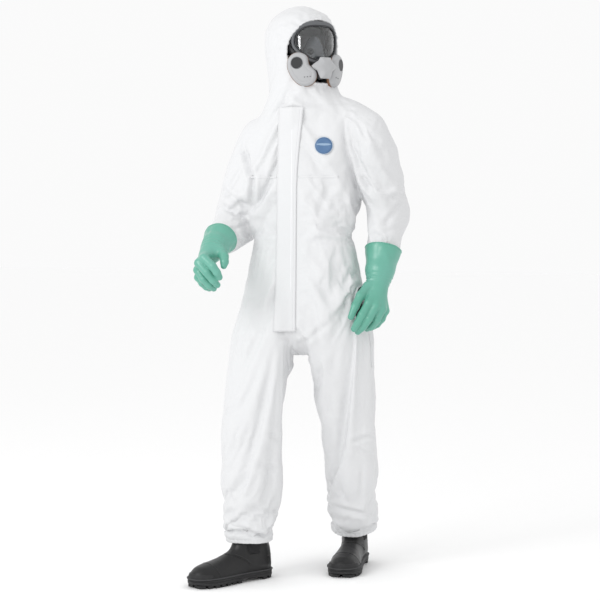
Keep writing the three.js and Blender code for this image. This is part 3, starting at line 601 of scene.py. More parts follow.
def creased(V, N):
    """How far each point moves along its normal, in metres: the drawn creases, and a crumple all over."""
    local = V - AXIS
    seen = np.stack([local[:, 0] * math.cos(TURN) + local[:, 1] * math.sin(TURN), local[:, 2]], 1) * 1000
    facing = np.clip((N[:, 0] * math.sin(TURN) - N[:, 1] * math.cos(TURN)) * 2.2 + 0.35, 0, 1)
    total = np.zeros(len(V))
    for depth, width, points in CREASES:
        points = np.array(points, float)
        spans = np.linalg.norm(np.diff(points, axis=0), axis=1)
        whole, gone = spans.sum(), 0.0
        nearest = np.full(len(V), 1e9)
        along = np.zeros(len(V))
        for a, b, span in zip(points[:-1], points[1:], spans):
            d = b - a
            t = np.clip((seen - a) @ d / (d @ d), 0, 1)
            far = np.linalg.norm(seen - a - t[:, None] * d, axis=1)
            closer = far < nearest
            nearest = np.where(closer, far, nearest)
            along = np.where(closer, (gone + t * span) / whole, along)
            gone += span
        taper = np.clip(np.minimum(along, 1 - along) * 4 + 0.25, 0, 1)
        shape = (np.exp(-((nearest / width) ** 2))
                 - 0.42 * np.exp(-(((nearest - 2.1 * width) / (1.1 * width)) ** 2)))
        total -= depth / 1000 * shape * taper * facing
    crumple = np.zeros(len(V))
    for i in np.where(local[:, 2] < 1.50)[0]:
        x, y, z = (float(v) for v in local[i])
        first = noise.noise(Vector((x * 11 + 3, y * 11, z * 7)))
        second = noise.noise(Vector((x * 22, y * 22 + 9, z * 16)))
        crumple[i] = (0.32 - abs(first)) * 0.0052 + (0.25 - abs(second)) * 0.0026
    for side in SIDES:  # the cloth gives way beside each hand
        elbow, wrist = joint(f"elbow_{side}"), joint(f"wrist_{side}")
        to_hand = wrist + unit(wrist - elbow) * 0.07 - V
        away = np.linalg.norm(to_hand, axis=1)
        beside = np.clip(((to_hand * N).sum(1) / np.maximum(away, 1e-6) - 0.2) / 0.3, 0, 1)
        total -= 0.012 * np.exp(-((away / 0.10) ** 2)) * beside * (local[:, 2] < 1.10)
    closure = np.clip((np.abs(local[:, 0] + 0.004) - 0.052) / 0.02, 0, 1)
    open_front = np.where((local[:, 1] < -0.04) & (local[:, 2] > 0.77), closure, 1.0)
    return (total + crumple) * open_front


verts = verts + normals * (gathers + creased(verts, normals))[:, None]
smooth = relax(verts, faces, 16)
for x in (-140, 134):
    near = np.exp(-((np.linalg.norm((verts - P(x, 0, 1468)) * [1, 0.6, 1], axis=1) / 0.050) ** 2))
    verts = verts + (smooth - verts) * near[:, None]
normals = vertex_normals(verts, faces)
centre = verts[faces].mean(1)
WALL = 0.0011


def thick_piece(name, chosen, mat=CLOTH):
    """The chosen faces as a closed thin shell that shades as one with its neighbours."""
    part = faces[chosen]
    used = np.unique(part)
    table = -np.ones(len(verts), int)
    table[used] = np.arange(len(used))
    part = table[part]
    n = len(used)
    outer = verts[used]
    inner = outer - normals[used] * WALL
    _, edges = rim_mask(n, part)
    lookup = {}
    for f in part:
        for i in range(4):
            lookup[(f[i], f[(i + 1) % 4])] = True
    rims = []
    for a, b in edges:
        if (a, b) not in lookup:
            a, b = b, a
        rims.append((b, a, a + n, b + n))
    allfaces = [tuple(f) for f in part] + [tuple(f[::-1] + n) for f in part] + rims
    obj = mesh_object(name, np.concatenate([outer, inner]), allfaces, mat)
    sided = np.concatenate([normals[used], -normals[used]])
    obj.data.normals_split_custom_set_from_vertices([tuple(v) for v in sided])
    return obj


def area_of(quads):
    a, b, c, d = (verts[quads[:, i]] for i in range(4))
    return float(np.linalg.norm(np.cross(c - a, d - b), axis=1).sum() / 2)


def beyond(point, direction, points):
    return (points - point) @ unit(direction) > 0


label = np.full(len(faces), "torso", dtype=object)
local = centre - AXIS
for side, s in SIDES.items():
    mine = local[:, 0] * s > 0
    hip, knee, ankle = (joint(f"{j}_{side}") for j in ("hip", "knee", "ankle"))
    n = unit([s, 0, -1])
    start = P(0, 0, 758)
    hip_zone = mine & beyond(start, n, centre) & (local[:, 2] < 0.96)
    label[hip_zone] = f"hip_{side}"
    mid_thigh = knee + unit(hip - knee) * 0.085
    label[hip_zone & beyond(mid_thigh, knee - hip, centre)] = f"knee_{side}"
    mid_shin = knee * 0.5 + ankle * 0.5
    label[hip_zone & beyond(mid_shin, ankle - knee, centre)] = f"ankle_{side}"

    shoulder, elbow, wrist = (joint(f"{j}_{side}") for j in ("shoulder", "elbow", "wrist"))
    gate = (local[:, 0] * s + 0.2 * local[:, 2] > 0.419) | (local[:, 2] < 1.33)
    upper = unit(elbow - shoulder)
    points, radii = arm_line(side)
    to_arm = limb(centre, points, radii)
    to_trunk = column(local, [(z, w, d, d, front_y(z) + d) for z, w, d in TRUNK])
    arm_zone = (to_arm < 0.03) & (to_arm < to_trunk) & gate & (local[:, 2] < 1.50) & mine & (label == "torso")
    label[arm_zone] = f"shoulder_{side}"
    low = np.array([0.6 * s, 0, -0.8])
    at = P(s * 212, 0, 1363)
    mid_upper = elbow - upper * 0.062
    label[arm_zone & beyond(mid_upper, elbow - shoulder, centre)] = f"elbow_{side}"
label[(label == "torso") & (local[:, 2] > 1.475)] = "neck"

PAIRS = {"neck": ("torso", "head")}
for side in SIDES:
    PAIRS[f"hip_{side}"] = ("torso", f"thigh_{side}")
    PAIRS[f"knee_{side}"] = (f"thigh_{side}", f"shin_{side}")
    PAIRS[f"ankle_{side}"] = (f"shin_{side}", f"foot_{side}")
    PAIRS[f"shoulder_{side}"] = ("torso", f"upper_arm_{side}")
    PAIRS[f"elbow_{side}"] = (f"upper_arm_{side}", f"forearm_{side}")
STANDS = {
    "torso": ("front_panel_left", "front_panel_right", "back_panel", "waist_elastic", "crotch_gusset"),
    "neck": ("hood",),
}
for side in SIDES:
    STANDS[f"hip_{side}"] = (f"thigh_{side}",)
    STANDS[f"knee_{side}"] = (f"shin_{side}",)
    STANDS[f"shoulder_{side}"] = (f"upper_sleeve_{side}",)
    STANDS[f"elbow_{side}"] = (f"forearm_sleeve_{side}",)
for key in sorted(set(label)):
    obj = thick_piece(f"coverall_{key}", label == key)
    area = area_of(faces[label == key])
    if key in PAIRS:
        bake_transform(obj)
    else:
        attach(obj, "torso")
    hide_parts(*STANDS.get(key, ()))

# ---------------------------------------------------------------- swept, turned and lofted shapes
def outward(obj):
    bm = bmesh.new()
    bm.from_mesh(obj.data)
    bmesh.ops.recalc_face_normals(bm, faces=bm.faces)
    bm.to_mesh(obj.data)
    bm.free()
    return obj


def ring_loft(name, rings, mat, wrap=False, crisp=None):
    """Quads between closed rings; wrap joins the last ring to the first, else both ends are capped."""
    rings = np.asarray(rings, float)
    k, n = rings.shape[:2]
    ids = np.arange(k * n).reshape(k, n)
    faces = []
    for r in range(k if wrap else k - 1):
        a, b = ids[r], ids[(r + 1) % k]
        faces += [(a[i], a[(i + 1) % n], b[(i + 1) % n], b[i]) for i in range(n)]
    if not wrap:
        faces += [tuple(ids[0][::-1]), tuple(ids[-1])]
    obj = outward(mesh_object(name, rings.reshape(-1, 3), faces, mat))
    if crisp:
        obj.data.set_sharp_from_angle(angle=math.radians(crisp))
    return obj


def swept(name, points, ups, half_width, half_height, mat, closed=False, sides=10, power=2.0):
    """A rounded bar along points; ups point away from the surface it lies on."""
    points = np.asarray(points, float)
    count = len(points)
    widths = np.broadcast_to(half_width, count)
    heights = np.broadcast_to(half_height, count)
    angles = np.arange(sides) * 2 * np.pi / sides
    c, s = (np.sign(f) * np.abs(f) ** (2 / power) for f in (np.cos(angles), np.sin(angles)))
    rings = []
    for i in range(count):
        a = points[i - 1] if closed or i else points[i]
        b = points[(i + 1) % count] if closed or i < count - 1 else points[i]
        t = unit(b - a)
        up = unit(ups[i] - (ups[i] @ t) * t)
        rings.append(points[i] + np.outer(c * widths[i], np.cross(t, up)) + np.outer(s * heights[i], up))
    return ring_loft(name, rings, mat, wrap=closed)


def placed(origin, z, x):
    """A matrix at origin with its Z along z and its X as near as can be to x."""
    z = unit(z)
    x = unit(np.asarray(x, float) - (np.asarray(x) @ z) * z)
    m = np.eye(4)
    m[:3, 0], m[:3, 1], m[:3, 2], m[:3, 3] = x, np.cross(z, x), z, origin
    return m


def moved(points, m):
    return np.asarray(points, float) @ m[:3, :3].T + m[:3, 3]


def turned(name, profile, mat, place, sides=36, crisp=32, wrap=False):
    """A profile of (radius, height) turned about the Z of place."""
    a = np.arange(sides) * 2 * np.pi / sides
    rings = [moved(np.stack([r * np.cos(a), r * np.sin(a), np.full(sides, h)], 1), place) for r, h in profile]
    return ring_loft(name, rings, mat, wrap=wrap, crisp=crisp)


def inset(outline, amount):
    back = outline - np.roll(outline, 1, 0)
    ahead = np.roll(outline, -1, 0) - outline
    n1, n2 = (np.stack([-e[:, 1], e[:, 0]], 1) / np.linalg.norm(e, axis=1)[:, None] for e in (back, ahead))
    m = n1 + n2
    m /= np.linalg.norm(m, axis=1)[:, None]
    return outline + m * (amount / np.maximum((m * n1).sum(1), 0.5))[:, None]


def plate(name, outline, depth, mat, place, bevel=0.001, steps=3, crisp=40, bow=None):
    """A counter-clockwise outline in the XY plane of place, thick along Z, with rounded edges."""
    outline = np.asarray(outline, float)
    levels = []
    for i in range(steps + 1):
        a = math.pi / 2 * i / steps
        levels.append((bevel * (1 - math.sin(a)), bevel * (1 - math.cos(a))))
    levels += [(v, depth - h) for v, h in reversed(levels)]
    rings = []
    for amount, height in levels:
        ring = inset(outline, amount)
        z = np.full(len(ring), height)
        if bow is not None:
            z = z + bow(ring)
        rings.append(moved(np.column_stack([ring, z]), place))
    return ring_loft(name, rings, mat, crisp=crisp)


def joined(name, objects):
    """Several objects as one."""
    activate(objects[0])
    for obj in objects:
        obj.select_set(True)
    bpy.ops.object.join()
    objects[0].name = objects[0].data.name = name
    return objects[0]


def even_loop(points, count):
    """A closed loop resampled to even steps and lightly smoothed."""
    for _ in range(3):
        points = (np.roll(points, 1, 0) + 2 * points + np.roll(points, -1, 0)) / 4
    ring = np.vstack([points, points[:1]])
    s = np.concatenate([[0], np.cumsum(np.linalg.norm(np.diff(ring, axis=0), axis=1))])
    at = np.linspace(0, s[-1], count, endpoint=False)
    return np.column_stack([np.interp(at, s, ring[:, i]) for i in range(3)])


def thin_shell(name, V, F, mat, wall):
    """An open surface given a wall inwards."""
    n = len(V)
    N = vertex_normals(V, F)
    directed = {(int(f[i]), int(f[(i + 1) % 4])) for f in F for i in range(4)}
    rims = [(b, a, a + n, b + n) for a, b in directed if (b, a) not in directed]
    allfaces = [tuple(f) for f in F] + [tuple(f[::-1] + n) for f in F] + rims
    return mesh_object(name, np.concatenate([V, V - N * wall]), allfaces, mat)


# ---------------------------------------------------------------- cloth under the arms
def lining(name, function, within, rides):
    """The part of one shape's skin that lies inside another, hidden until the joint between them turns."""
    V, F = implicit(function, LOW, HIGH, 0.012)
    V = relax(V, F, 4)
    F = F[within(V[F].mean(1))]
    used, F = np.unique(F, return_inverse=True)
    obj = thin_shell(name, V[used], F.reshape(-1, 4), CLOTH, 0.0008)
    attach(obj, rides)


def trunk_within(Q, slack):
    L = Q - AXIS
    return column(L, [(z, w - slack, d - slack, d - slack, front_y(z) + d) for z, w, d in TRUNK])


for side, s in SIDES.items():
    line_points, radii = arm_line(side)
    elbow = joint(f"elbow_{side}")
    upper = unit(elbow - joint(f"shoulder_{side}"))
    lining(f"underarm_trunk_{side}", lambda Q: trunk_within(Q, 0.012),
           lambda C: (limb(C, line_points, radii) < 0.004) & ((C - AXIS)[:, 0] * s > 0.10), "torso")
    lining(f"underarm_sleeve_{side}", lambda Q: limb(Q, line_points, radii - 0.010),
           lambda C: (trunk_within(C, 0.0) < -0.002) & ((C - AXIS)[:, 0] * s > 0.10)
               & ~beyond(elbow - upper * 0.02, upper, C),
           f"upper_arm_{side}")



# ---------------------------------------------------------------- on the coverall's surface
surface = BVHTree.FromPolygons([tuple(v) for v in verts], [tuple(int(i) for i in f) for f in faces])


def on_surface(point):
    hit, normal, index, _ = surface.find_nearest(Vector(point))
    n = unit(normals[faces[index]].mean(0))
    return np.array(hit), n


def front_hit(x, z):
    """The surface seen from the front, at suit coordinates in mm."""
    start = P(x, -500, z)
    hit = surface.ray_cast(Vector(start), Vector((0, 1, 0)))
    return np.array(hit[0]) if hit[0] is not None else P(x, front_y(z / 1000) * 1000, z)


def seam(name, path, rides, key=None, width=0.0045, lift=0.0005, mat=CLOTH):
    """A bound seam: a raised strip on the surface."""
    spots = [on_surface(p) for p in path]
    points = np.array([p for p, _ in spots])
    ups = np.array([n for _, n in spots])
    for _ in range(2):
        points[1:-1] = (points[:-2] + 2 * points[1:-1] + points[2:]) / 4
    obj = swept(name, points + ups * lift, ups, width, 0.0010, mat, sides=12, power=3.0)
    if key:
        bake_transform(obj)
    else:
        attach(obj, rides)
    return obj


def line(a, b, count):
    return [np.asarray(a) * (1 - t) + np.asarray(b) * t for t in np.linspace(0, 1, count)]


# ---------------------------------------------------------------- edges of the coverall
loops = rim_loops(faces)
for loop in loops[:5]:
    points = verts[loop]
    centre_of = points.mean(0)
    count = max(120, len(loop))
    ring = even_loop(points, count)
    away = np.array([p - centre_of for p in ring])
    phase = np.arange(count) / count * 2 * np.pi
    if centre_of[2] > 1.5:
        gather = 1 + 0.16 * np.sin(phase * 46) + 0.08 * np.sin(phase * 29 + 1)
        obj = swept("hood_face_edge", ring, away, 0.0048 * gather, 0.0042 * gather, CLOTH, closed=True,
            sides=12)
        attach(obj, "head")
        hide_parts("face_elastic")
        continue
    side = "right" if centre_of[0] < AXIS[0] else "left"
    if centre_of[2] > 0.6:
        obj = swept(f"sleeve_edge_{side}", ring, away, 0.006, 0.0020, ELASTIC, closed=True)
        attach(obj, f"forearm_{side}")
        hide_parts(f"wrist_elastic_{side}")
    else:
        gather = 0.0012 * np.sin(phase * 34)
        ring = ring + away / np.linalg.norm(away, axis=1)[:, None] * gather[:, None]
        obj = swept(f"hem_edge_{side}", ring, away, 0.0075, 0.0026, CLOTH, closed=True, sides=12, power=2.6)
        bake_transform(obj)
        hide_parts(f"ankle_elastic_{side}")

# ---------------------------------------------------------------- front closure
zip_z = np.arange(800, 1492, 8.0)
tape = swept("closure_zip_tape", [P(0, front_y(z / 1000) * 1000 - 1.0, z) for z in zip_z],
             [np.array([0, -1.0, 0])] * len(zip_z), 0.010, 0.0007, STITCH, sides=14, power=4)
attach(tape, "torso")
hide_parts("zip_tape")
ZIP = material("suit_zip_coil", (0.80, 0.80, 0.82), rough=0.4, coat=0.1)
coil_z = np.arange(804, 1489, 1.5)
wave = 0.5 + 0.5 * np.cos(np.arange(len(coil_z)) * np.pi)
coil = swept("closure_zip_coil", [P(0, front_y(z / 1000) * 1000 - 2.2, z) for z in coil_z],
             [np.array([0, -1.0, 0])] * len(coil_z), 0.0019 + 0.0006 * wave, 0.0009 + 0.0005 * wave, ZIP,
             sides=10)
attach(coil, "torso")
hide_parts("zip_chain")
slide_at = P(0, front_y(1.483) * 1000 - 3.6, 1483)
on_zip = placed(slide_at, [0, -1, 0.02], [1, 0, 0])
slider_outline = np.array([(-3.2, -7), (3.2, -7), (4.6, 3), (4.2, 7), (1.5, 7), (0, 4), (-1.5, 7),
    (-4.2, 7), (-4.6, 3)]) / 1000
slider_top = plate("slider_top", slider_outline, 0.0016, ZIP, on_zip, bevel=0.0005)
bridge = plate("slider_bridge", np.array([(-1, -4), (1, -4), (1, 4), (-1, 4)]) / 1000, 0.0020, ZIP,
               placed(slide_at + [0, -0.0012, 0], [0, -1, 0], [1, 0, 0]), bevel=0.0006)
slider = joined("closure_slider", [slider_top, bridge])
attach(slider, "slider")
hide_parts("zip_slider")
tab = [(3.2 * math.sin(a), -12 + 12.5 * math.cos(a))
    for a in np.linspace(-0.35, 2 * math.pi - 0.35, 26, endpoint=False)]
tab = np.array(sorted(tab, key=lambda p: math.atan2(p[1] + 12, p[0]))) / 1000
pull = plate("closure_puller", tab, 0.0013, ZIP,
    placed(slide_at + [0, -0.0034, -0.002], [0, -1, 0.02], [1, 0, 0]), bevel=0.0005)
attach(pull, "puller")
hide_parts("zip_puller")


# the storm flap: a double layer, stitched down its left edge
def flap_edges(z):
    """Left and right edge of the flap, in mm, at a height."""
    t = np.clip((z - 1240) / 260, 0, 1) ** 1.6
    return -50 + 6 * t, 17 + 24 * t


FLAP_Z = np.arange(790, 1497, 8.0)
across = np.linspace(0, 1, 13)
grid = np.zeros((len(FLAP_Z), len(across)))
for i, z in enumerate(FLAP_Z):
    x0, x1 = flap_edges(z)
    for j, t in enumerate(across):
        grid[i, j] = front_hit(x0 + (x1 - x0) * t, z)[1]
rise = grid.copy()
for _ in range(3):
    padded = np.pad(rise, 1, mode="edge")
    rise = np.minimum.reduce([padded[1:-1, 1:-1], padded[:-2, 1:-1], padded[2:, 1:-1], padded[1:-1, :-2],
        padded[1:-1, 2:]])
for _ in range(14):
    padded = np.pad(rise, 1, mode="edge")
    rise = (padded[1:-1, 1:-1] * 2 + padded[:-2, 1:-1] + padded[2:, 1:-1] + padded[1:-1, :-2]
        + padded[1:-1, 2:]) / 6
rings = []
for i, z in enumerate(FLAP_Z):
    x0, x1 = flap_edges(z)
    front, back = [], []
    for j, t in enumerate(across):
        x = x0 + (x1 - x0) * t
        over_slider = 5.0 * math.exp(-((x / 15) ** 2)) * min(max((z - 1425) / 30, 0), 1)
        puff = 1.0 * math.sin(math.pi * t) ** 0.6 + over_slider
        ripple = 1.1 * noise.noise(Vector((x * 0.02, z * 0.012, 3.0))) * math.sin(math.pi * t)
        y = (rise[i, j] - AXIS[1]) * 1000 - 1.0 - puff - ripple
        front.append(P(x, y - 0.9, z))
        back.append(P(x, y + 0.5, z))
    rings.append(front + back[::-1])
flap = ring_loft("storm_flap_cover", rings, CLOTH)
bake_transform(flap)
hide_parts("storm_flap")
for name, off in (("outer", 0.965), ("inner", 0.86), ("left", 0.05)):
    points = []
    for i in range(1, len(rings) - 1):
        front = np.array(rings[i][:13])
        points.append(np.array([np.interp(off, across, front[:, k]) for k in range(3)]) + [0, -0.0001, 0])
    stitch = swept(f"flap_stitch_{name}", points, [np.array([0, -1.0, 0])] * len(points), 0.0007, 0.0005,
        STITCH, sides=6)
    if name == "left":
        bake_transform(stitch)
    else:
        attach(stitch, "flap")

# ---------------------------------------------------------------- seams
CHEST_Z = 1275
for name, x0, x1 in (("right", -142, -52), ("left", 22, 142)):
    seam(f"seam_chest_{name}", [front_hit(x, CHEST_Z) for x in np.linspace(x0, x1, 22)], "torso",
        width=0.0035)
back_hits = []
for x in np.linspace(-140, 140, 40):
    hit = surface.ray_cast(Vector(P(x, 500, CHEST_Z)), Vector((0, -1, 0)))
    back_hits.append(np.array(hit[0]))
seam("seam_chest_back", back_hits, "torso", width=0.0035)
back_line = []
for z in np.arange(830, 1466, 12):
    hit = surface.ray_cast(Vector(P(0, 500, z)), Vector((0, -1, 0)))
    back_line.append(np.array(hit[0]))
seam("seam_centre_back", back_line, "torso", width=0.0032)
crown = []
for a in np.linspace(math.radians(28), math.radians(172), 34):
    local_point = Vector((0, -math.cos(a) * 0.16 + 0.014, 1.665 + math.sin(a) * 0.16))
    crown.append(np.array(HEAD_TO_ROW @ local_point))
seam("seam_hood_crown", crown, "head", width=0.0032)
for side, s in SIDES.items():
    hip, knee, ankle = (joint(f"{j}_{side}") for j in ("hip", "knee", "ankle"))
    out = np.array([0.11 * s, 0, 0])
    seam(f"seam_outleg_{side}", line(hip * 0.80 + knee * 0.20 + out, hip * 0.45 + knee * 0.55 + out, 18),
        None, f"hip_{side}",
         width=0.0030)
    shoulder, elbow, wrist = (joint(f"{j}_{side}") for j in ("shoulder", "elbow", "wrist"))

# ---------------------------------------------------------------- badge: a plain disc with a stripe
BADGE = material("badge_print", (0.075, 0.16, 0.31), rough=0.45, coat=0.1)
BADGE_BAND = material("badge_band", (0.26, 0.38, 0.53), rough=0.45, coat=0.1)
BADGE_EDGE = material("badge_edge", (0.55, 0.62, 0.70), rough=0.5)
badge_place = front_hit(99, 1372)
_, badge_normal = on_surface(badge_place)
badge_frame = placed(badge_place, badge_normal, [1, 0, 0])


def bow_of(spots):
    x, y, z = spots.T
    return np.column_stack([np.ones(len(x)), x, y, x * x, y * y])


inverse = np.linalg.inv(badge_frame)
samples = []
for r in (0.0, 0.01, 0.02, 0.03):
    for a in np.linspace(0, 2 * math.pi, 16, endpoint=False):
        spot, _ = on_surface(moved([(r * math.cos(a), r * math.sin(a), 0)], badge_frame)[0])
        samples.append(moved([spot], inverse)[0])
samples = np.array(samples)
fit = np.linalg.lstsq(bow_of(samples), samples[:, 2], rcond=None)[0]
clear = max((samples[:, 2] - bow_of(samples) @ fit).max(), 0) + 0.0004


def on_badge(outline, lift, thick, name, mat):
    """A thin decal, bowed like the chest under it."""
    rings = []
    for share in (0.02, 0.35, 0.7, 1.0, 1.0, 0.7, 0.35, 0.02):
        top = len(rings) < 4
        ring = np.column_stack([outline * share, np.zeros(len(outline))])
        ring[:, 2] = bow_of(ring) @ fit + clear + lift + (thick if top else -0.0006)
        rings.append(moved(ring, badge_frame))
    return ring_loft(name, rings, mat)


oval = np.array([(0.029 * math.cos(a), 0.028 * math.sin(a))
    for a in np.linspace(0, 2 * math.pi, 56, endpoint=False)])
edge = on_badge(oval, 0.0, 0.0003, "badge_rim", BADGE_EDGE)
field = on_badge(oval * 0.93, 0.0, 0.0007, "badge_field", BADGE)
band = np.array([(x, 0.004 + 0.13 * y) for x, y in oval]) * [0.80, 1.0]
stripe = on_badge(band, 0.0, 0.0010, "badge_stripe", BADGE_BAND)
for obj in (edge, field, stripe):
    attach(obj, "torso")
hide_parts("chest_badge")

# ---------------------------------------------------------------- gloves
GLOVE = material("glove_nitrile", (0.105, 0.37, 0.275), rough=0.34, specular=0.6, coat=0.15,
                 layers=[("noise", 45, 0.0007, 3), ("noise", 420, 0.00012, 3)],
                     tint=((0.155, 0.42, 0.345), 9, 0.6), rough_var=0.06)
# each finger's joints in mm, knuckle to tip
HANDS = {
    "right": {
        "thumb": [(-180, -257, 1042), (-162, -277, 1028), (-155, -290, 1012), (-155, -296, 999)],
        "index": [(-212, -317, 1024), (-178, -331, 999), (-165, -326, 979), (-162, -315, 965)],
        "middle": [(-231, -313, 1008), (-199, -328, 980), (-182, -316, 955), (-174, -303, 941)],
        "ring": [(-240, -300, 986), (-216, -313, 958), (-200, -302, 938), (-192, -288, 929)],
        "little": [(-246, -281, 963), (-230, -291, 945), (-220, -282, 933), (-214, -270, 927)],
    },
    "left": {
        "thumb": [(228, -40, 931), (213, -71, 904), (203, -91, 872), (193, -105, 839)],
        "index": [(241, -72, 882), (226, -93, 846), (211, -93, 820), (198, -88, 801)],
        "middle": [(262, -64, 873), (244, -81, 833), (224, -78, 807), (204, -69, 791)],
        "ring": [(276, -48, 863), (263, -59, 827), (242, -50, 806), (223, -36, 799)],
        "little": [(280, -26, 856), (272, -34, 830), (254, -25, 812), (236, -15, 802)],
    },
}
FINGER_R = {"index": 0.0128, "middle": 0.0128, "ring": 0.0122, "little": 0.0108}
CUFF_REACH = {"right": 0.098, "left": 0.120}
CUFF_FLARE = {"right": 0.050, "left": 0.055}
for side in SIDES:
    elbow, wrist = joint(f"elbow_{side}"), joint(f"wrist_{side}")
    hand = {k: [P(*p) for p in v] for k, v in HANDS[side].items()}
    d = unit(wrist - elbow)
    open_at = wrist - d * CUFF_REACH[side]
    flare = CUFF_FLARE[side]
    seat = np.mean([hand[f][0] for f in ("index", "little")], 0) * 0.12 + wrist * 0.88

    def glove(Q):
        cuff = limb(Q, [open_at - d * 0.03, open_at, wrist - d * 0.045, wrist - d * 0.012, seat],
                    [flare + 0.002, flare, (flare + 0.034) / 2, 0.0345, 0.030], k=0.012)
        palm = None
        for name in FINGER_R:
            heel = seat * 0.7 + hand[name][0] * 0.3
            bone = limb(Q, [heel, hand[name][0]], [0.021, 0.0142], k=0.01)
            palm = bone if palm is None else smin(palm, bone, 0.010)
        fingers = None
        for name, r in FINGER_R.items():
            finger = limb(Q, hand[name], [r * 1.06, r * 1.02, r * 0.95, r * 0.82], k=0.003)
            fingers = finger if fingers is None else smin(fingers, finger, 0.0022)
        thumb = limb(Q, [seat] + hand["thumb"], [0.022, 0.0165, 0.0140, 0.0125, 0.0100], k=0.006)
        out = smin(smin(palm, fingers, 0.005), thumb, 0.007)
        out = smin(out, cuff, 0.016)
        t = (Q - wrist) @ d
        wobble = np.sin((Q @ np.array([60.0, 35.0, 20.0]))) * 1.1
        ripples = np.sin(t * 2 * np.pi / 0.0125 + wobble) * np.exp(-(((t + 0.012) / 0.02) ** 2)) * 0.0011
        folds = np.sin(Q @ np.array([150.0, -90.0, 60.0]) + 2
            * wobble) * np.exp(-(((t + 0.07) / 0.04) ** 2)) * 0.0010
        return out + ripples + folds

    reach = np.concatenate([np.array([p for v in hand.values() for p in v]), [open_at - d * 0.004, wrist]])
    low, high = reach.min(0) - flare - 0.006, reach.max(0) + flare + 0.006
    V, F = implicit(glove, low, high, 0.0026)
    V = relax(V, F, 2, share=0.4)
    V, F = trimmed(V, F, (V - open_at) @ d, 0.0)
    V, _ = smooth_rims(V, F, 10)
    loop = rim_loops(F)[0]
    ring = even_loop(V[loop], 140)
    obj = thin_shell(f"gauntlet_glove_{side}", V, F, GLOVE, 0.0014)
    bead = swept(f"gauntlet_bead_{side}", ring, ring - ring.mean(0), 0.0018, 0.0016, GLOVE, closed=True)
    both = joined(f"gauntlet_glove_{side}", [obj, bead])
    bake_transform(both)
    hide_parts(f"glove_hand_{side}", f"glove_gauntlet_{side}")

# ---------------------------------------------------------------- boots
LEATHER = material("boot_leather", (0.009, 0.009, 0.0095), rough=0.36, specular=0.38,
                   layers=[("noise", 60, 0.0006, 2), ("cells", 420, 0.00012, 2)], rough_var=0.08)
SOLE = material("boot_sole", (0.012, 0.012, 0.013), rough=0.62, layers=[("noise", 300, 0.0002, 3)],
    rough_var=0.06)
GORE = material("boot_gore", (0.012, 0.012, 0.013), rough=0.85, layers=[("noise", 260, 0.0005, 3)])
THREAD = material("boot_thread", (0.045, 0.045, 0.047), rough=0.7)
BOOT_SOLE = 0.026
PLAN = [  # forward of the ankle, half width (m)
    (-0.076, 0.006), (-0.073, 0.018), (-0.064, 0.029), (-0.045, 0.036), (-0.01, 0.038), (0.04, 0.037),
    (0.09, 0.042),
    (0.13, 0.049), (0.165, 0.051), (0.195, 0.046), (0.215, 0.035), (0.226, 0.022), (0.2315, 0.006),
]
CROWN = [  # forward of the ankle, height of the upper (m)
    (-0.076, 0.10), (-0.03, 0.115), (0.03, 0.113), (0.06, 0.104), (0.09, 0.092), (0.12, 0.081), (0.15, 0.074),
    (0.18, 0.069), (0.205, 0.062), (0.222, 0.050), (0.232, 0.036),
]
plan = np.array(PLAN)
crown_line = np.array(CROWN)


def upper(L, grow=0.0):
    """Signed distance of the boot's upper, in the boot's frame: toe towards -Y."""
    t, z = -L[..., 1], L[..., 2]
    w = np.interp(t, plan[:, 0], plan[:, 1])
    h = np.interp(t, crown_line[:, 0], crown_line[:, 1]) - 0.016
    up = np.maximum(z - 0.016, 0) / h
    taper = 1 - 0.10 * np.clip(up, 0, 1)
    v = ((np.abs(L[..., 0]) / (w * taper)) ** 2.5 + up ** 2.5) ** 0.4
    body = (v - 1) * np.minimum(w, h) * 0.9
    ends = np.maximum(t - 0.2312 + 0.30 * np.maximum(z - 0.045, 0), -0.0755 - t + 0.05
        * np.maximum(z - 0.06, 0))
    body = smax(body, ends, 0.010)
    body = smax(body, BOOT_SOLE - 0.003 - z, 0.002)
    shaft = column(L, [(0.05, 0.036, 0.050, 0.060, 0.0), (0.09, 0.038, 0.056, 0.060, 0.0),
        (0.12, 0.040, 0.055, 0.057, 0.0),
                       (0.158, 0.043, 0.053, 0.056, 0.0)], 2.2, 0.004)
    return smin(body, shaft, 0.022) - grow


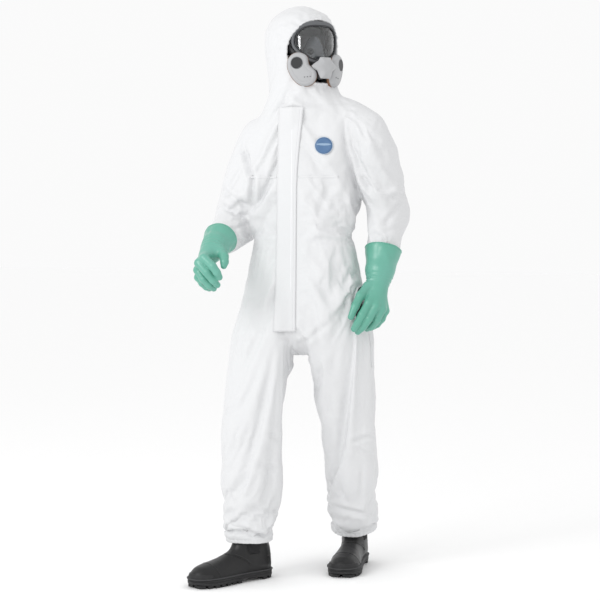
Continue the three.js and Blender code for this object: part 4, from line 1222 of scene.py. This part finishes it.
def boot_pieces(side, s):
    ankle = joint(f"ankle_{side}")
    turn = math.radians({"right": -30, "left": 7}[side])
    place = np.array(Matrix.Translation(Vector((ankle[0], ankle[1], 0))) @ Matrix.Rotation(turn, 4, "Z"))
    low, high = np.array([-0.062, -0.242, 0.018]), np.array([0.062, 0.086, 0.165])
    V, F = implicit(upper, low, high, 0.0032)
    V = relax(V, F, 3, share=0.4)
    V, F = trimmed(V, F, np.minimum(0.155 - V[:, 2], V[:, 2] - BOOT_SOLE + 0.0015), 0.0)
    V, _ = smooth_rims(V, F, 8)
    N = vertex_normals(V, F)
    middle = V[F].mean(1)
    t, z = -middle[:, 1], middle[:, 2]
    gore = (z > 0.088) & (np.abs(t - 0.012) < 0.020 + 0.20 * (z - 0.088)) & (np.abs(middle[:, 0]) > 0.018)
    made = []
    for name, chosen, mat, slot in (
        ("leather", ~gore, LEATHER, "leather"),
        ("gore_inner", gore & (middle[:, 0] * s < 0), GORE, "gore"),
        ("gore_outer", gore & (middle[:, 0] * s > 0), GORE, "gore"),
    ):
        part = F[chosen]
        used = np.unique(part)
        table = -np.ones(len(V), int)
        table[used] = np.arange(len(used))
        W = V[used].copy()
        if name != "leather":
            W = W + N[used] * (0.0008 * np.sin(W[:, 2:3] * 2 * np.pi / 0.0052))
        obj = thin_shell(f"boot_{name}_{side}", moved(W, place), table[part], mat, 0.0022)
        made.append(obj)
    tree = BVHTree.FromPolygons([tuple(v) for v in V], [tuple(int(i) for i in f) for f in F])

    def stitched(name, path, width=0.0012, height=0.0009, mat=THREAD, lift=0.0002):
        points, ups = [], []
        for p in path:
            hit, normal, _, _ = tree.find_nearest(Vector(p))
            points.append(np.array(hit) + np.array(normal) * lift)
            ups.append(np.array(normal))
        points, ups = np.array(points), np.array(ups)
        for _ in range(2):
            points[1:-1] = (points[:-2] + 2 * points[1:-1] + points[2:]) / 4
        obj = swept(f"boot_{name}_{side}", moved(points, place), ups @ place[:3, :3].T, width, height, mat,
            sides=8)
        made.append(obj)

    # vamp seam: from the ankle's front, down each side and back to the heel counter
    for name, x in (("vamp_seam_outer", s), ("vamp_seam_inner", -s)):
        arc = [(x * 0.060 * math.sin(a), -(0.055 + 0.030 * math.cos(a)) * (1 - 0.75 * (a / 1.9)) - 0.02,
            0.110 - 0.055 * (a / 1.9))
               for a in np.linspace(0.0, 1.9, 22)]
        stitched(name, arc, 0.0016, 0.0011, LEATHER, 0.0004)
        stitched(name + "_thread", [np.array(p) + [0, 0.004, 0.003] for p in arc], 0.0005, 0.0005)
    toe = [(0.050 * math.sin(a), -0.150 - 0.022 * math.cos(a), 0.030 + 0.050 * math.cos(a))
        for a in np.linspace(-1.5, 1.5, 30)]
    stitched("toe_seam", toe, 0.0016, 0.0010, LEATHER, 0.0003)
    counter = [(0.045 * math.sin(a), 0.050 + 0.03 * math.cos(a), 0.074) for a in np.linspace(-1.9, 1.9, 30)]
    stitched("counter_seam", counter, 0.0014, 0.0009, LEATHER, 0.0003)
    loop = [(0, 0.060 + 0.014 * math.sin(a), 0.118 + 0.020 * math.cos(a))
        for a in np.linspace(0, math.pi, 14)]
    pull = swept(f"boot_pull_{side}", moved(loop, place),
        [np.array(p) @ place[:3, :3].T for p in [(0, 0.6, 0.8)] * 14],
                 0.007, 0.0011, GORE, sides=10, power=3.5)
    made.append(pull)

    # sole: midsole with a groove, then separate lugs in front of and behind the arch
    def outline(grow):
        ts = np.concatenate([plan[:, 0], plan[::-1, 0][1:-1]])
        xs = np.concatenate([plan[:, 1], -plan[::-1, 1][1:-1]])
        fine = np.linspace(0, 1, 121)[:-1]
        ring = np.column_stack([xs, -ts])
        ring = np.vstack([ring, ring[:1]])
        arc = np.concatenate([[0], np.cumsum(np.linalg.norm(np.diff(ring, axis=0), axis=1))])
        even = np.column_stack([np.interp(fine * arc[-1], arc, ring[:, i]) for i in range(2)])
        for _ in range(4):
            even = (np.roll(even, 1, 0) + 2 * even + np.roll(even, -1, 0)) / 4
        c = even.mean(0)
        grown = inset(even, -grow)
        inside = inset(even, grow)
        far = np.linalg.norm(grown - c, axis=1).mean() > np.linalg.norm(inside - c, axis=1).mean()
        return grown if far else inside

    rings = []
    for grow, z in ((0.000, 0.0075), (0.0030, 0.0085), (0.0036, 0.0125), (0.0036, 0.0165), (0.0022, 0.0172),
        (0.0022, 0.0186),
                    (0.0036, 0.0193), (0.0036, 0.0235), (0.0026, 0.0258), (-0.002, 0.0262)):
        ring = outline(grow)
        lift = 0.010 * np.exp(-(((-ring[:, 1] - 0.23) / 0.03) ** 2)) * (z < 0.02)
        arch = 0.004 * np.exp(-(((-ring[:, 1] - 0.02) / 0.03) ** 2)) * (z < 0.012)
        rings.append(np.column_stack([ring, np.full(len(ring), z) + lift * 0.4 + arch]))
    parts = [ring_loft(f"sole_{side}", [moved(r, place) for r in rings], SOLE, crisp=50)]
    for t0 in list(np.arange(-0.066, -0.02, 0.024)) + list(np.arange(0.062, 0.21, 0.024)):
        t1 = t0 + 0.016
        for x in (-1, 1):
            w0, w1 = (np.interp(t, plan[:, 0], plan[:, 1]) + 0.0015 for t in (t0, t1))
            corners = [(x * 0.005, -t0), (x * w0, -t0), (x * w1, -t1), (x * 0.005, -t1)]
            area_sign = sum(a[0] * b[1] - b[0] * a[1] for a, b in zip(corners, corners[1:] + corners[:1]))
            corners = corners if area_sign > 0 else corners[::-1]
            parts.append(plate("lug", corners, 0.0095, SOLE, place, bevel=0.0012, steps=2))
    sole = joined(f"boot_outsole_{side}", parts)
    made.append(sole)
    # rubber bumper over the toe
    bumper = []
    for a in np.linspace(-1.35, 1.35, 34):
        x, y = 0.062 * math.sin(a), -0.165 - 0.070 * math.cos(a)
        hit, normal, _, _ = tree.find_nearest(Vector((x, y, 0.034)))
        bumper.append((np.array(hit) + np.array(normal) * 0.0008, np.array(normal)))
    band = swept(f"boot_bumper_{side}", moved([p for p, _ in bumper], place),
        np.array([n for _, n in bumper]) @ place[:3, :3].T,
                 0.011, 0.0018, SOLE, sides=14, power=3.0)
    made.append(band)
    board = [np.column_stack([outline(-0.006), np.full(120, z)]) for z in (0.0265, 0.0295)]
    insole = ring_loft(f"boot_insole_{side}", [moved(r, place) for r in board], THREAD)
    made.append(insole)
    for obj in made:
        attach(obj, f"foot_{side}")
    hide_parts(f"boot_upper_{side}", f"toe_cap_{side}")
    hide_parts(f"gore_inner_{side}")
    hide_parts(f"gore_outer_{side}")
    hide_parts(f"outsole_{side}")
    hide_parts(f"insole_{side}")


for side, s in SIDES.items():
    boot_pieces(side, s)

# ---------------------------------------------------------------- respirator
FRAME = material("mask_frame", (0.115, 0.12, 0.128), rough=0.38, specular=0.5,
    layers=[("noise", 900, 0.00006, 2)])
SHELL = material("mask_shell", (0.42, 0.425, 0.435), rough=0.40, layers=[("noise", 1200, 0.00004, 2)],
    rough_var=0.05)
RUBBER = material("mask_rubber", (0.030, 0.031, 0.034), rough=0.55, layers=[("noise", 500, 0.0001, 3)])
NOSE = material("mask_nose_cup", (0.13, 0.135, 0.145), rough=0.42, coat=0.05)
DARK = material("mask_dark", (0.018, 0.019, 0.021), rough=0.4)
BROWN = material("filter_band", (0.20, 0.095, 0.045), rough=0.5)
LENS = material("mask_lens", (0.95, 0.97, 0.98), rough=0.02, transmission=1.0, ior=1.45, coat=0.3)
MASK_Y = -0.011


def M(points):
    """Points of the mask's own frame (m) in the row frame."""
    m = np.array(HEAD_TO_ROW)
    return (np.asarray(points, float) + [0, MASK_Y, 0]) @ m[:3, :3].T + m[:3, 3]


def wrap_face(x, z, r):
    """The bowed front of the mask: a point of its front view, r from the axis."""
    x = np.clip(x, -r * 0.96, r * 0.96)
    bow = 0.45 * np.maximum(np.abs(z - 1.69) - 0.02, 0) ** 2 / 0.09
    return np.stack([x, -np.sqrt(r * r - x * x) + bow, z], -1)


def lens_outline(grow, count=96):
    """The visor's outline seen from the front: wide across the brow, drawn in over the cheeks."""
    a = np.linspace(0, 2 * np.pi, count, endpoint=False)
    c, s = np.cos(a), np.sin(a)
    x = np.sign(c) * np.abs(c) ** 0.62 * 0.074
    z = np.sign(s) * np.abs(s) ** 0.75
    x = x * np.where(z < 0, 1 - 0.36 * z * z, 1 - 0.04 * z * z)
    z = 1.697 + np.where(z > 0, z * 0.052, z * 0.058)
    ring = np.column_stack([x, z])
    return inset(ring, -grow)


ring = lens_outline(0.0)
centre_point = np.array([0, 1.697])
shares = np.linspace(0.02, 1.0, 14)
front = [M(wrap_face(*(centre_point + (ring - centre_point) * f).T, 0.0925)) for f in shares]
back = [M(wrap_face(*(centre_point + (ring - centre_point) * f).T, 0.0905)) for f in shares]
visor = ring_loft("visor", front + back[::-1], LENS)
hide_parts("visor_lens")
face_parts = [visor]


def band_round(name, grow, r, half_width, half_height, mat, power=3.0):
    ring = lens_outline(grow)
    points = M(wrap_face(ring[:, 0], ring[:, 1], r))
    outer = M(wrap_face(ring[:, 0], ring[:, 1], r + 0.01))
    widths = half_width(ring) if callable(half_width) else half_width
    obj = swept(name, points, outer - points, widths, half_height, mat, closed=True, sides=16, power=power)
    face_parts.append(obj)
    return obj


rim = band_round("visor_frame", 0.0045, 0.0935, lambda r: 0.0052 + 0.0035
    * np.clip((r[:, 1] - 1.735) / 0.02, 0, 1), 0.0042,
                 FRAME)
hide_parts("lens_frame")
band_round("visor_gasket", -0.0010, 0.0950, 0.0020, 0.0018, RUBBER, 2.0)
rings = []
for grow, r, push in ((0.008, 0.090, 0), (0.014, 0.088, 0.012), (0.013, 0.086, 0.028), (-0.004, 0.084, 0.036),
                      (-0.004, 0.0815, 0.034), (0.0115, 0.0835, 0.026), (0.012, 0.0855, 0.012),
                      (0.006, 0.0875, 0)):
    ring = lens_outline(grow)
    low = np.clip((1.66 - ring[:, 1]) / 0.03, 0, 1)
    ring = ring + np.column_stack([np.zeros(len(ring)), -low * 0.050])
    w = wrap_face(ring[:, 0] * (1 - 0.35 * low), ring[:, 1], r)
    w[:, 1] += push
    rings.append(M(w))
skirt = ring_loft("face_seal_skirt", rings, RUBBER, wrap=True)
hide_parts("face_seal")
face_parts.append(skirt)

# nose cup with its two inhalation valves
CUP = [(1.618, 0.036, 0.034, 0.0, -0.040), (1.645, 0.041, 0.044, 0.0, -0.040),
    (1.668, 0.036, 0.044, 0.0, -0.040),
       (1.695, 0.023, 0.040, 0.0, -0.040), (1.712, 0.013, 0.031, 0.0, -0.040),
       (1.722, 0.006, 0.021, 0.0, -0.040)]
V, F = implicit(lambda Q: column(Q, [(z, w, f, 0.030, c) for z, w, f, _, c in CUP], 2.1, 0.006),
    [-0.05, -0.095, 1.60],
                [0.05, -0.002, 1.735], 0.0028)
V = relax(V, F, 3)
V, F = trimmed(V, F, -0.036 - V[:, 1], 0.0)
V, _ = smooth_rims(V, F, 8)
cup = thin_shell("nose_cup_inner", M(V), F, NOSE, 0.0020)
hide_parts("nose_cup")
face_parts.append(cup)
head_rotation = np.array(HEAD_TO_ROW)[:3, :3]
for side, s in SIDES.items():
    normal = head_rotation @ unit([s * 0.62, -0.74, 0.26])
    place = placed(M([(s * 0.0275, -0.073, 1.668)])[0], normal, [0, 0, 1])
    body_ring = turned(f"inhalation_body_{side}", [(0.0020, 0.0042), (0.0050, 0.0042), (0.0052, 0.0030),
        (0.0082, 0.0030), (0.0084, 0.0046),
                       (0.0098, 0.0046), (0.0104, 0.0036), (0.0104, -0.004), (0.0020, -0.004)], DARK, place)
    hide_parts(f"inhalation_valve_{side}")
    face_parts.append(body_ring)

# front block: housing, moving disc and the faceted cover
forward = head_rotation @ np.array([0, -1.0, 0])
front_place = placed(M([(0, -0.086, 1.606)])[0], forward, head_rotation @ np.array([1.0, 0, 0]))
housing = turned("exhalation_body", [(0.0155, 0.0), (0.0250, 0.0), (0.0262, 0.002), (0.0262, 0.006),
    (0.0240, 0.008), (0.0240, 0.014),
                 (0.0226, 0.016), (0.0226, 0.022), (0.0210, 0.0235), (0.0155, 0.0235)], RUBBER, front_place,
                 wrap=True, sides=48)
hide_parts("exhalation_housing")
face_parts.append(housing)
disc_place = placed(M([(0, -0.1014, 1.606)])[0], forward, [0, 0, 1])
disc = turned("exhalation_disc", [(0.0005, 0.0018), (0.004, 0.0016), (0.0125, 0.0008), (0.0135, 0.0004),
    (0.0135, -0.0002), (0.0005, -0.0002)],
              DARK, disc_place)
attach(disc, "valve")
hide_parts("exhalation_valve")
COVER = np.array([(-17, -31), (17, -31), (22, -20), (27, -8), (41, 2), (45, 8), (36, 16), (24, 24),
    (18, 35), (-18, 35), (-24, 24),
                  (-36, 16), (-45, 8), (-41, 2), (-27, -8), (-22, -20)]) / 1000


def cover_ring(scale, depth, lift=0.0):
    ring = COVER * scale + [0, 0.004 + lift]
    swept_back = 0.010 * (np.abs(ring[:, 0]) / 0.045) ** 1.5
    return moved(np.column_stack([ring, depth - swept_back]), cover_place)


cover_place = placed(M([(0, -0.114, 1.608)])[0], forward, head_rotation @ np.array([1.0, 0, 0]))
cover = ring_loft("exhalation_shell", [cover_ring(0.60, 0.002), cover_ring(0.93, 0.0005), cover_ring(1.0,
    0.003), cover_ring(1.0, 0.006),
                  cover_ring(0.955, 0.0095), cover_ring(0.70, 0.0165), cover_ring(0.62, 0.0175),
                      cover_ring(0.40, 0.0185)], SHELL, crisp=18)
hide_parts("exhalation_cover")
face_parts.append(cover)
slots = []
for i, z in enumerate((0.016, 0.021, 0.026)):
    outline = np.array([(-0.010, -0.0011), (0.010, -0.0011), (0.010, 0.0011), (-0.010, 0.0011)]) + [0, z]
    slots.append(plate("slot", outline, 0.0014, DARK,
        placed(M([(0, -0.114 - 0.0150 + 0.0012 * i, 1.608)])[0], forward,
                       head_rotation @ np.array([1.0, 0, 0])), bevel=0.0004, steps=2))
vents = joined("exhalation_slots", slots)
face_parts.append(vents)
for obj in face_parts:
    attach(obj, "head")


# filters: kidney-shaped cartridges on bayonet mounts
def bean(grow=0.0, count=90):
    """The filter's outline: long axis along X, hollowed on one long side."""
    a = np.linspace(0, 2 * np.pi, count, endpoint=False)
    x = 0.0555 * np.cos(a)
    y = 0.0400 * np.sin(a)
    y = y - np.where(y > 0, 0.0135 * np.exp(-((x / 0.019) ** 2)) * (y / 0.040), 0)
    y = y * (1 + 0.10 * np.cos(a) ** 2)
    ring = np.column_stack([x, y])
    return inset(ring, -grow)


for side, s in SIDES.items():
    twist = JOINTS[f"filter_twist_{side}"]
    origin, normal = np.array(twist["pos_m"]), unit(twist["axis"])
    outward_x = head_rotation @ np.array([float(s), 0, 0])
    long_way = unit(0.62 * outward_x + 0.79 * np.array([0, 0, 1.0]))
    place = placed(origin, normal, long_way)
    inner_side = place[:3, 1] @ outward_x
    flip = -1.0 if inner_side > 0 else 1.0  # the hollow side faces the nose

    def level(grow, height, size=1.0):
        ring = bean(grow) * [size, flip * size]
        ring = ring if flip > 0 else ring[::-1]
        return moved(np.column_stack([ring, np.full(len(ring), height)]), place)

    body = ring_loft(f"filter_body_{side}", [level(-0.012, 0.0095), level(-0.003, 0.0095), level(0.0,
        0.0115), level(0.0005, 0.018),
                     level(0.0, 0.026), level(-0.0015, 0.0305), level(-0.0055, 0.0345),
                         level(-0.0105, 0.0360), level(-0.0125, 0.0353),
                     level(-0.0145, 0.0362), level(-0.0145, 0.0371, 0.6), level(-0.0145, 0.0374, 0.15)],
                         SHELL, crisp=38)
    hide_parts(f"filter_{side}")
    tone = swept(f"filter_band_{side}", level(0.0006, 0.0150), level(0.02, 0.0150) - level(0.0006, 0.0150),
        0.0042, 0.0011, BROWN,
                 closed=True, sides=8, power=4)
    lobe = moved([(0.024, -0.003 * flip, 0.0365)], place)[0]
    spot = turned(f"filter_disc_{side}", [(0.0005, 0.0012), (0.0160, 0.0012), (0.0172, 0.0004), (0.0172,
        -0.004), (0.0005, -0.004)], DARK,
                  placed(lobe, normal, long_way))
    ringed = turned(f"filter_disc_ring_{side}", [(0.0172, -0.002), (0.0190, -0.002), (0.0190, 0.0010),
        (0.0172, 0.0014)], FRAME,
                    placed(lobe, normal, long_way), wrap=True)
    dots = []
    for i in range(3):
        at = moved([(-0.026 - 0.004 * i, (-0.006 + 0.008 * i) * flip, 0.0370)], place)[0]
        dots.append(turned("dot", [(0.0003, 0.0006), (0.0014, 0.0006), (0.0018, -0.001), (0.0003, -0.001)],
            DARK, placed(at, normal, long_way), sides=12))
    marks = joined(f"filter_dots_{side}", dots)
    for obj, slot in ((body, "shell"), (tone, "shell"), (spot, "valve"), (ringed, "frame"), (marks, "valve")):
        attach(obj, f"filter_{side}")
    mount = turned(f"filter_socket_{side}", [(0.010, -0.010), (0.0205, -0.010), (0.0205, 0.003), (0.0185,
        0.0045), (0.0185, 0.0085),
                   (0.010, 0.0085)], RUBBER, placed(origin, normal, long_way), wrap=True)
    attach(mount, "head")
    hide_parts(f"filter_mount_{side}")

# harness: buckles at the seal and a strap round the back of the head
for side, s in SIDES.items():
    place = placed(M([(s * 0.0815, -0.012, 1.602)])[0], head_rotation @ unit([s, -0.25, 0]), [0, 0, 1])
    frame_outline = np.array([(-0.011, -0.0075), (0.011, -0.0075), (0.011, 0.0075), (-0.011, 0.0075)])
    buckle = plate(f"harness_buckle_{side}", frame_outline, 0.0035, DARK, place, bevel=0.0012)
    bars = [plate("bar", np.array([(-0.0012, -0.0062), (0.0012, -0.0062), (0.0012, 0.0062),
        (-0.0012, 0.0062)]) + [x, 0], 0.0012, FRAME,
                  placed(M([(s * 0.0850, -0.013, 1.602)])[0], head_rotation @ unit([s, -0.25, 0]),
                      [0, 0, 1]), bevel=0.0004, steps=2)
            for x in (-0.006, 0, 0.006)]
    whole = joined(f"harness_buckle_{side}", [buckle] + bars)
    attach(whole, "head")
    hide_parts(f"buckle_{side}")
angles = np.linspace(math.radians(14), math.radians(166), 40)
strap_points = M([(0.0825 * math.cos(a), 0.036 + 0.098 * math.sin(a), 1.649 - 0.010 * math.cos(2 * a))
    for a in angles])
strap_ups = [head_rotation @ np.array([math.cos(a), math.sin(a), 0]) for a in angles]
strap = swept("harness_strap", strap_points, strap_ups, 0.0085, 0.0012, RUBBER, sides=12, power=3.5)
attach(strap, "head")
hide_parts("head_strap")


# ---------------------------------------------------------------- floor, light and camera
floor = mesh_object("floor", [(-30, -30, -0.001), (30, -30, -0.001), (30, 30, -0.001), (-30, 30, -0.001)],
    [(0, 1, 2, 3)],
                    material("floor_white", (0.998, 0.998, 0.998), rough=0.95, specular=0.05), smooth=False)
world = bpy.data.worlds.new("studio")
bpy.context.scene.world = world
world.use_nodes = True
world.node_tree.nodes["Background"].inputs["Color"].default_value = (1, 1, 1, 1)
world.node_tree.nodes["Background"].inputs["Strength"].default_value = 0.96
bpy.context.scene.view_settings.view_transform = "Standard"


def from_camera(x, y, z):
    """A point given across, away from the camera and up, in metres about the trunk's axis."""
    across, away = x * math.cos(TURN) - y * math.sin(TURN), x * math.sin(TURN) + y * math.cos(TURN)
    return Vector(AXIS) + Vector((across, away, z))


def area(name, at, target, size, watts):
    light = bpy.data.lights.new(name, "AREA")
    light.energy = watts
    light.size = size
    obj = bpy.data.objects.new(name, light)
    bpy.context.scene.collection.objects.link(obj)
    obj.location = at
    obj.rotation_euler = (Vector(target) - obj.location).to_track_quat("-Z", "Y").to_euler()


middle = from_camera(0, 0, 1.0)
area("key", from_camera(-2.6, -2.2, 2.6), middle, 1.4, 34)
area("strip", from_camera(-1.15, -2.6, 1.95), from_camera(0, 0, 1.65), 0.45, 7)

camera = bpy.data.cameras.new("camera")
camera.lens = 105
camera.sensor_width = 36
cam = bpy.data.objects.new("camera", camera)
bpy.context.scene.collection.objects.link(cam)
cam.location = from_camera(-0.0128, -5.6, 1.15)
aim = from_camera(-0.0128, 0, 1.15 - 5.6 * math.tan(math.radians(2.72)))
cam.rotation_euler = (aim - cam.location).to_track_quat("-Z", "Y").to_euler()
bpy.context.scene.camera = cam
